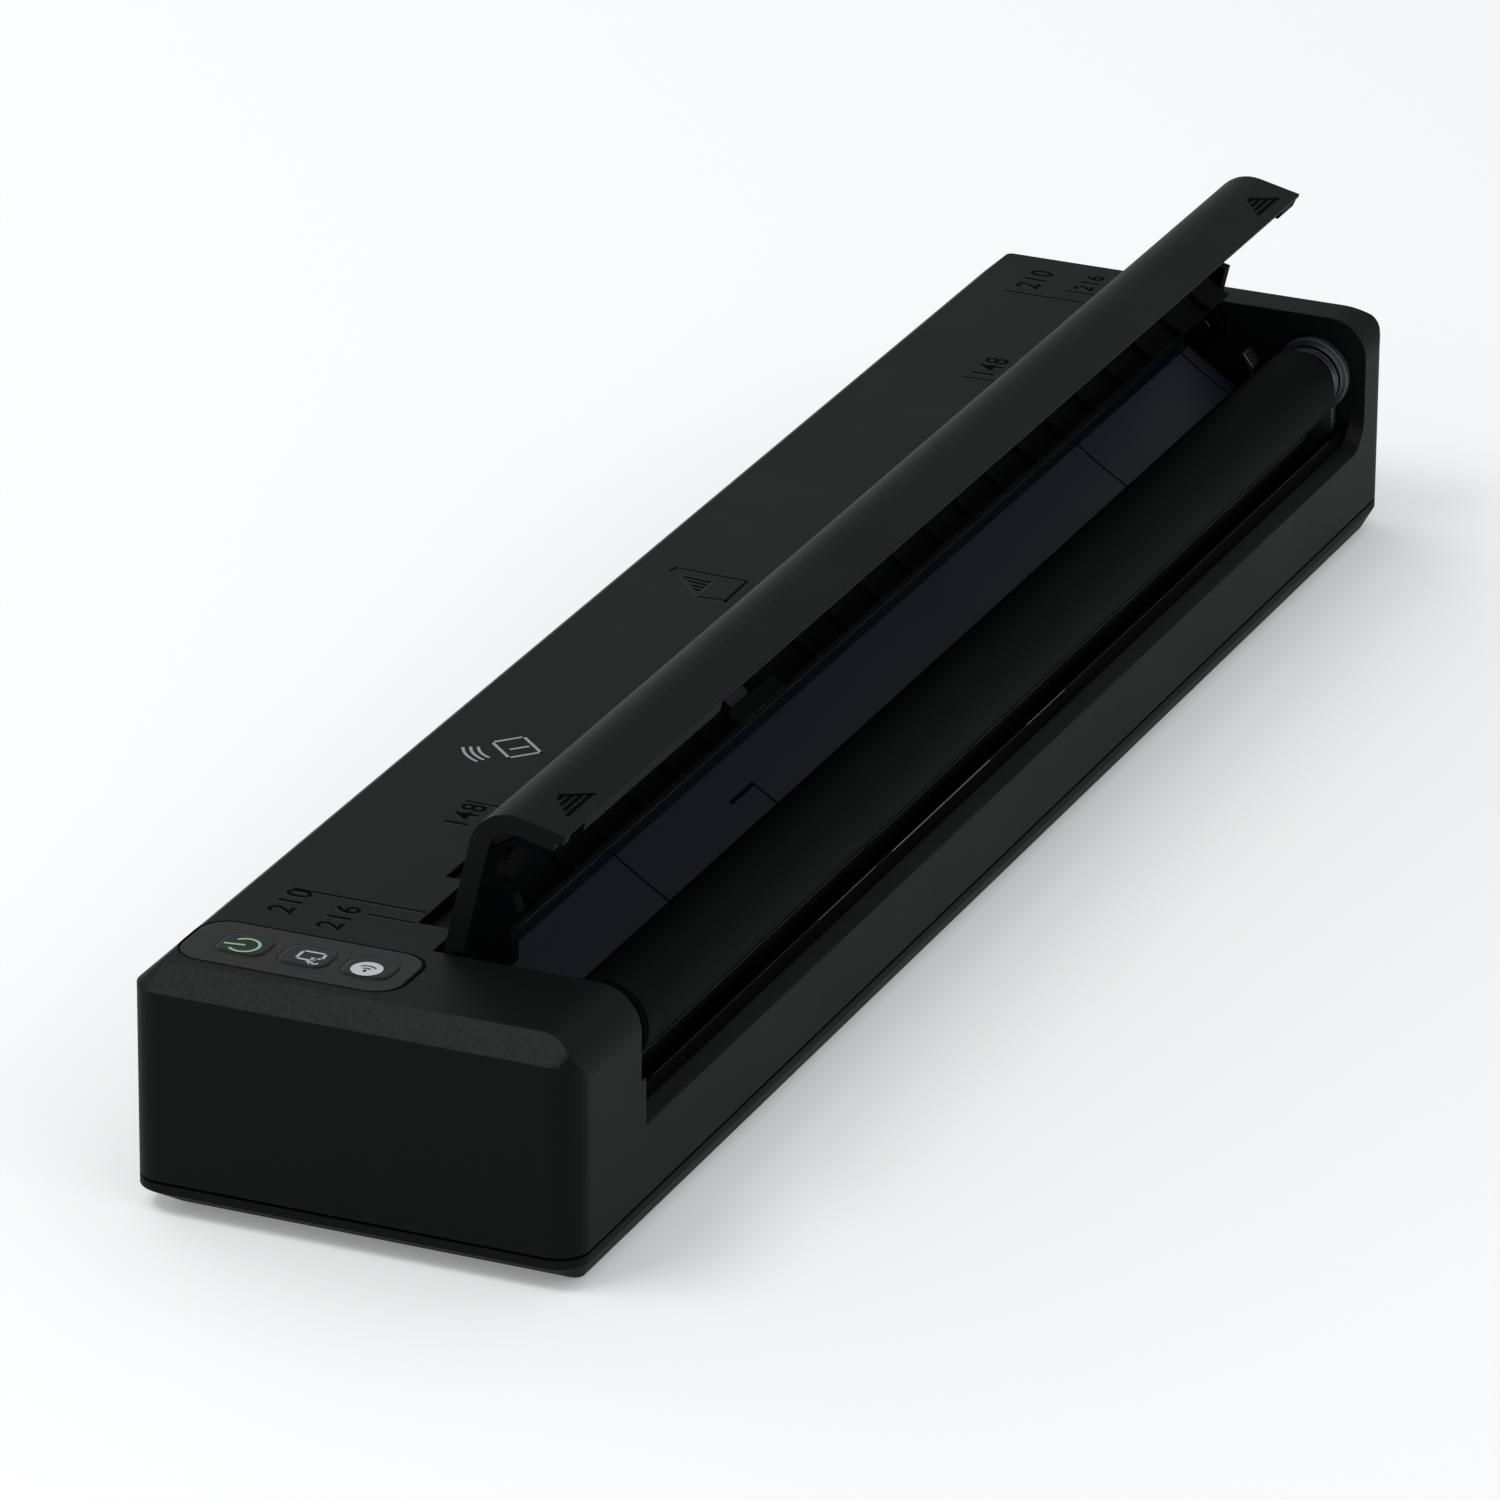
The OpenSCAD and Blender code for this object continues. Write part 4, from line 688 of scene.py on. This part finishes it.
# Key mat and boards: a silicone sheet with a dome under each key, pressed in a hot mould,
# and two boards of glass and epoxy under a green mask, with their soldered parts.
mat_silicone = moulded(
    "mat_silicone", "#3c3f41", roughness=0.7, grains=5000.0, depth=0.05, wear=0.05,
)
dress(mat_silicone, "key_mat")
board_green = moulded(
    "board_green", "#1f5a2e", roughness=0.35, grains=1600.0, depth=0.03, radius=0.0001,
    wear=0.1, specular=0.5,
)
dress(board_green, "key_board", "main_board")
chip_black = moulded(
    "chip_black", "#18191a", roughness=0.5, grains=4000.0, depth=0.05, wear=0.1, specular=0.4,
)
dress(chip_black, "board_parts")

# Charging socket: a drawn and plated steel shell, soldered to the main board.
# Its mouth stands in a slot in the rear wall of the housing.
socket_steel = metal("socket_steel", "#a9acb0", 0.28, streak=(300.0, 2400.0, 300.0))
dress(socket_steel, "charge_socket")

# Battery pack: two round cells under blue shrink film, which puckers at both ends.
# It lies on saddles in the tray.
shrink_film = moulded(
    "shrink_film", "#1f3d66", roughness=0.25, grains=600.0, depth=0.2, radius=0.0008,
    wear=0.05, specular=0.5,
)
dress(shrink_film, "battery_pack")

# Mechanism frame, gear plate and head springs: punched from zinc-plated steel sheet and bent.
# The frame is a channel that carries the roller's bushes, the plate carries the idlers'
# axles, and the springs are folded leaves between the frame and the head's bar.
punched_sheet = metal("punched_sheet", "#85888c", 0.42, streak=(120.0, 1800.0, 1800.0), depth=0.08)
dress(punched_sheet, "mechanism_frame", "gear_plate", "head_springs")

# Print head: a ceramic strip with a glazed heater line, coloured near black as painted shade in the slot
# in front of the roller.
# It is glued to a black anodised aluminium bar, which the springs push up to the roller.
head_ceramic_shaded = moulded(
    "head_ceramic_shaded", "#070707", roughness=0.4, grains=2500.0, depth=0.03, radius=0.00008,
    wear=0.1, specular=0.1,
)
dress(head_ceramic_shaded, "print_head")
bar_black = moulded(
    "bar_black", "#040404", roughness=0.55, grains=2200.0, depth=0.08, wear=0.1, specular=0.05,
)
dress(bar_black, "heat_sink")

# Ground front edge of the head: the bare line left where its glaze was cut.
# It shows as one thin bright line in front of the roller.
box_faces = [(0, 1, 2, 3), (7, 6, 5, 4), (0, 4, 5, 1), (1, 5, 6, 2), (2, 6, 7, 3), (3, 7, 4, 0)]
ledge_depth = 0.02


def ledge(name, span, y, low, high, material):
    """Thin upright strip along the printer, facing the front."""
    corners = [(span[0], y, low), (span[1], y, low), (span[1], y, high), (span[0], y, high)]
    back = [(x, y + ledge_depth, z) for x, y, z in corners]
    piece = plain_mesh(name, corners + back, box_faces)
    piece.data.materials.append(material)
    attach(piece, "chassis")


bright_strip_metal = metal("bright_strip_metal", "#7d7f6c", 0.3, streak=(60.0, 2200.0, 2200.0))
ledge("head_edge", span=(-104.0, 109.8), y=-22.93, low=16.8, high=17.09, material=bright_strip_metal)

# Exit guide: a narrow black moulding behind the low front wall.
# A pale strip along its top edge is a painted highlight, and short bright metal strips in three places are
# painted glints on it.
guide_black = moulded(
    "guide_black", "#020202", roughness=0.7, grains=3500.0, depth=0.05, wear=0.1, specular=0.015,
)
dress(guide_black, "exit_guide")
exit_edge_y, glint_y = -25.42, -25.44
exit_edge_z, glint_z = 15.99, 16.02
ledge("exit_edge", (-102.0, 112.0), exit_edge_y, 15.9, exit_edge_z, painted_rim_highlight)
for name, span, low in (
    ("exit_glint_middle", (-33.0, -3.0), 15.84),
    ("exit_glint_near", (-55.0, -38.0), 15.92),
    ("exit_glint_far", (9.0, 21.0), 15.9),
):
    ledge(name, span, glint_y, low, glint_z, bright_strip_metal)

# Paper guide: four lengths of dark blue acetal, moulded with ribs and legs below.
# The sheet slides over them on its way to the roller, and keeps them smooth.
guide_blue = moulded(
    "guide_blue", "#0a1224", roughness=0.45, grains=5200.0, depth=0.03, radius=0.00025,
    wear=0.1, specular=0.12,
)
dress(guide_blue, "guide_near", "guide_middle", "guide_far", "guide_end")

# Sheet sensor and ground clip: the sensor stands on a black post below the guide's tongue.
# The clip is bent from spring steel and earths the far bush.
dress(guide_black, "paper_sensor")
spring_steel = metal("spring_steel", "#8b8e91", 0.3, streak=(2000.0, 200.0, 200.0))
dress(spring_steel, "ground_clip")

# Bushes: sintered bronze at the near end, bright turned steel at the far end.
# The far one shows, with two thin dark rings round it.
sintered_bronze = metal("sintered_bronze", "#8f7a4c", 0.45, depth=0.15)
dress(sintered_bronze, "bush_near")
turned_steel = metal("turned_steel", "#a8abae", 0.25, streak=(2600.0, 120.0, 120.0))
dress(turned_steel, "bush_far")


def outward(piece, edge_round=0.0):
    """Points the faces of a closed piece outwards, and rounds its edges if asked."""
    work = bmesh.new()
    work.from_mesh(piece.data)
    bmesh.ops.recalc_face_normals(work, faces=work.faces)
    if edge_round:
        bmesh.ops.bevel(
            work, geom=list(work.edges), offset=edge_round * MM, segments=3, profile=0.5,
            affect="EDGES",
        )
    work.to_mesh(piece.data)
    work.free()


roller_y, roller_z, bush_r = -20.7, 22.45, 4.3
ring_rise, ring_thick = 0.03, 0.04


def sleeve(name, start, end, material, steps=64):
    """Thin ring on the bush, round the roller's axis."""
    outer = bush_r + ring_rise
    inner = outer - ring_thick
    corners, faces = [], []
    for x, r in ((start, outer), (end, outer), (end, inner), (start, inner)):
        for i in range(steps):
            a = 2 * math.pi * i / steps
            corners.append((x, roller_y + r * math.cos(a), roller_z + r * math.sin(a)))
    for ring in range(4):
        for i in range(steps):
            j = (i + 1) % steps
            a, b = ring * steps, (ring + 1) % 4 * steps
            faces.append((a + i, b + i, b + j, a + j))
    piece = plain_mesh(name, corners, faces)
    outward(piece)
    piece.data.materials.append(material)
    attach(piece, "chassis")


sleeve("bush_ring_front", 113.95, 114.5, guide_black)
sleeve("bush_ring_rear", 116.1, 116.7, guide_black)

# Platen roller: black silicone rubber bonded to a steel shaft, then ground round.
# The shaft turns in the two bushes and carries the roller gear at its end.
ground_rubber = moulded(
    "ground_rubber", "#060908", roughness=0.75, grains=4200.0, depth=0.1, radius=0.0002,
    wear=0.1, specular=0.05,
)
dress(ground_rubber, "platen_rubber")
ground_steel = metal("ground_steel", "#9c9fa2", 0.22, streak=(2600.0, 160.0, 160.0))
dress(ground_steel, "platen_shaft")

# Drive: white acetal gears between the roller and a brass pinion, and the stepper motor
# in its drawn steel can. The pinion is pressed on the motor's shaft.
gear_acetal = moulded(
    "gear_acetal", "#d2d0c8", roughness=0.45, grains=3000.0, depth=0.03, radius=0.0001,
    wear=0.2, specular=0.4,
)
dress(gear_acetal, "roller_gear", "idler_gear_a", "idler_gear_b")
pinion_brass = metal("pinion_brass", "#b08f45", 0.3, streak=(200.0, 2400.0, 2400.0))
dress(pinion_brass, "motor_pinion")
can_steel = metal("can_steel", "#8f9295", 0.35, streak=(200.0, 1800.0, 1800.0))
dress(can_steel, "stepper_motor")

# Release cover: the black shell that swings up over the roller, moulded like the housing.
# The inner moulding under it, with its ribs and end plates, is black too, and has the knuckles
# of the hinge. Its colour is darker than the housing's, as painted shade under the cover.
dress(housing_black, "release_cover")
inner_shade_black = moulded(
    "inner_shade_black", "#030405", roughness=0.6, grains=3600.0, depth=0.06, wear=0.25, specular=0.02,
)
dress(inner_shade_black, "cover_inner")

# Pull marks: a hatched triangle sunk in each end of the cover's front plate.
# They point the way the cover lifts. Each is a stack of near-black bars that get shorter, painted shade
# in the sunk hatch, with one slanted stroke that closes its side, painted shade on the recess's edge.
hatch = bpy.data.node_groups.new("hatch", "GeometryNodeTree")
for label, kind in (
    ("Base", FLOAT),
    ("Height", FLOAT),
    ("Bars", "NodeSocketInt"),
    ("Bar share", FLOAT),
    ("Material", "NodeSocketMaterial"),
):
    hatch.interface.new_socket(label, in_out="INPUT", socket_type=kind)
hatch.interface.new_socket("Geometry", in_out="OUTPUT", socket_type="NodeSocketGeometry")
given = put(hatch, "NodeGroupInput").outputs
pitch = maths(hatch, "DIVIDE", given["Height"], given["Bars"])
step = put(hatch, "ShaderNodeCombineXYZ", {"Y": pitch})
rows = put(hatch, "GeometryNodeMeshLine", {"Count": given["Bars"], "Offset": step.outputs[0]})
bar = put(hatch, "GeometryNodeMeshGrid", {
    "Size X": given["Base"],
    "Size Y": maths(hatch, "MULTIPLY", pitch, given["Bar share"]),
    "Vertices X": 2,
    "Vertices Y": 2,
})
row = put(hatch, "GeometryNodeInputIndex").outputs[0]
share_left = maths(hatch, "SUBTRACT", 1.0, maths(hatch, "DIVIDE", row, given["Bars"]))
shorter = put(hatch, "ShaderNodeCombineXYZ", {"X": share_left, "Y": 1.0, "Z": 1.0})
bars = put(hatch, "GeometryNodeInstanceOnPoints", {
    "Points": rows.outputs["Mesh"],
    "Instance": bar.outputs["Mesh"],
    "Scale": shorter.outputs[0],
})
real = put(hatch, "GeometryNodeRealizeInstances", {"Geometry": bars.outputs["Instances"]})
sunk = put(hatch, "GeometryNodeSetMaterial", {
    "Geometry": real.outputs["Geometry"],
    "Material": given["Material"],
})
put(hatch, "NodeGroupOutput", {"Geometry": sunk.outputs["Geometry"]})


def grown(name, tree, values):
    """Runs a geometry tree on an empty mesh and returns the plain mesh it makes."""
    holder = placed(name, bpy.data.meshes.new(name))
    modifier = holder.modifiers.new(name, "NODES")
    modifier.node_group = tree
    for item in tree.interface.items_tree:
        if item.in_out == "INPUT" and item.name in values:
            modifier[item.identifier] = values[item.name]
    return plain_copy(holder)


hinge = Vector((0, -5.57, 26.9)) * MM
open_angle = 77.0
cover_open = (
    Matrix.Translation(hinge)
    @ Matrix.Rotation(math.radians(-open_angle), 4, "X")
    @ Matrix.Translation(-hinge)
)
plate_y = -27.5
mark_base, mark_height = 6.9, 3.1
mark_bars, bar_share = 4, 0.64
slant_w = 0.4
slant = [(0.2, mark_height - 0.5), (mark_base / 2, -0.2)]
for name, middle, foot in (("pull_mark_near", -101.4, 21.15), ("pull_mark_far", 111.5, 21.0)):
    mesh = grown(name, hatch, {
        "Base": mark_base * MM,
        "Height": mark_height * MM,
        "Bars": mark_bars,
        "Bar share": bar_share,
        "Material": groove_shade_and_dark_lines,
    })
    mark_spot = Matrix.Translation(Vector((middle, plate_y - ink_rise, foot)) * MM)
    on_cover = cover_open @ mark_spot @ Matrix.Rotation(math.radians(90), 4, "X")
    mesh.transform(on_cover)
    piece = placed(name, mesh)
    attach(piece, "cover")
    edge = printed(name + "_edge", [stroke(slant, slant_w, z=0.0)], groove_shade_and_dark_lines, "cover")
    edge.data.transform(on_cover)

# Latch lug: a small block with rounded edges under the far end of the cover's lip.
# It is moulded with the cover. Its section is given as it lies with the cover shut.
lug_near, lug_far = 113.2, 118.5
lug_section = ((-27.3, 19.3), (-27.3, 21.2), (-25.5, 21.0), (-25.6, 19.6))
lug_edge_r = 0.25
lug_corners = [(x, y, z) for x in (lug_near, lug_far) for y, z in lug_section]
lug = plain_mesh("latch_lug", lug_corners, box_faces)
lug.data.transform(cover_open)
outward(lug, edge_round=lug_edge_r)
# The lug has the inner moulding's finish, darkened as painted shade.
lug.data.materials.append(inner_shade_black)
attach(lug, "cover")

# Pad and leaf spring at the tip of the inner moulding: a soft dark pad, and above it
# a leaf of blued spring steel.
pad_green = moulded(
    "pad_green", "#0e120f", roughness=0.8, grains=3800.0, depth=0.15, wear=0.5, specular=0.05,
)
dress(pad_green, "cover_pad")
blued_spring = metal("blued_spring", "#25282a", 0.4, streak=(2000.0, 200.0, 200.0))
dress(blued_spring, "pad_spring")

# Hinge pins: short ground steel pins.
# They are pressed into the cover's end plates and turn in the housing.
dress(ground_steel, "hinge_pin_near", "hinge_pin_far")

# The box of the finished model.
low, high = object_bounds()
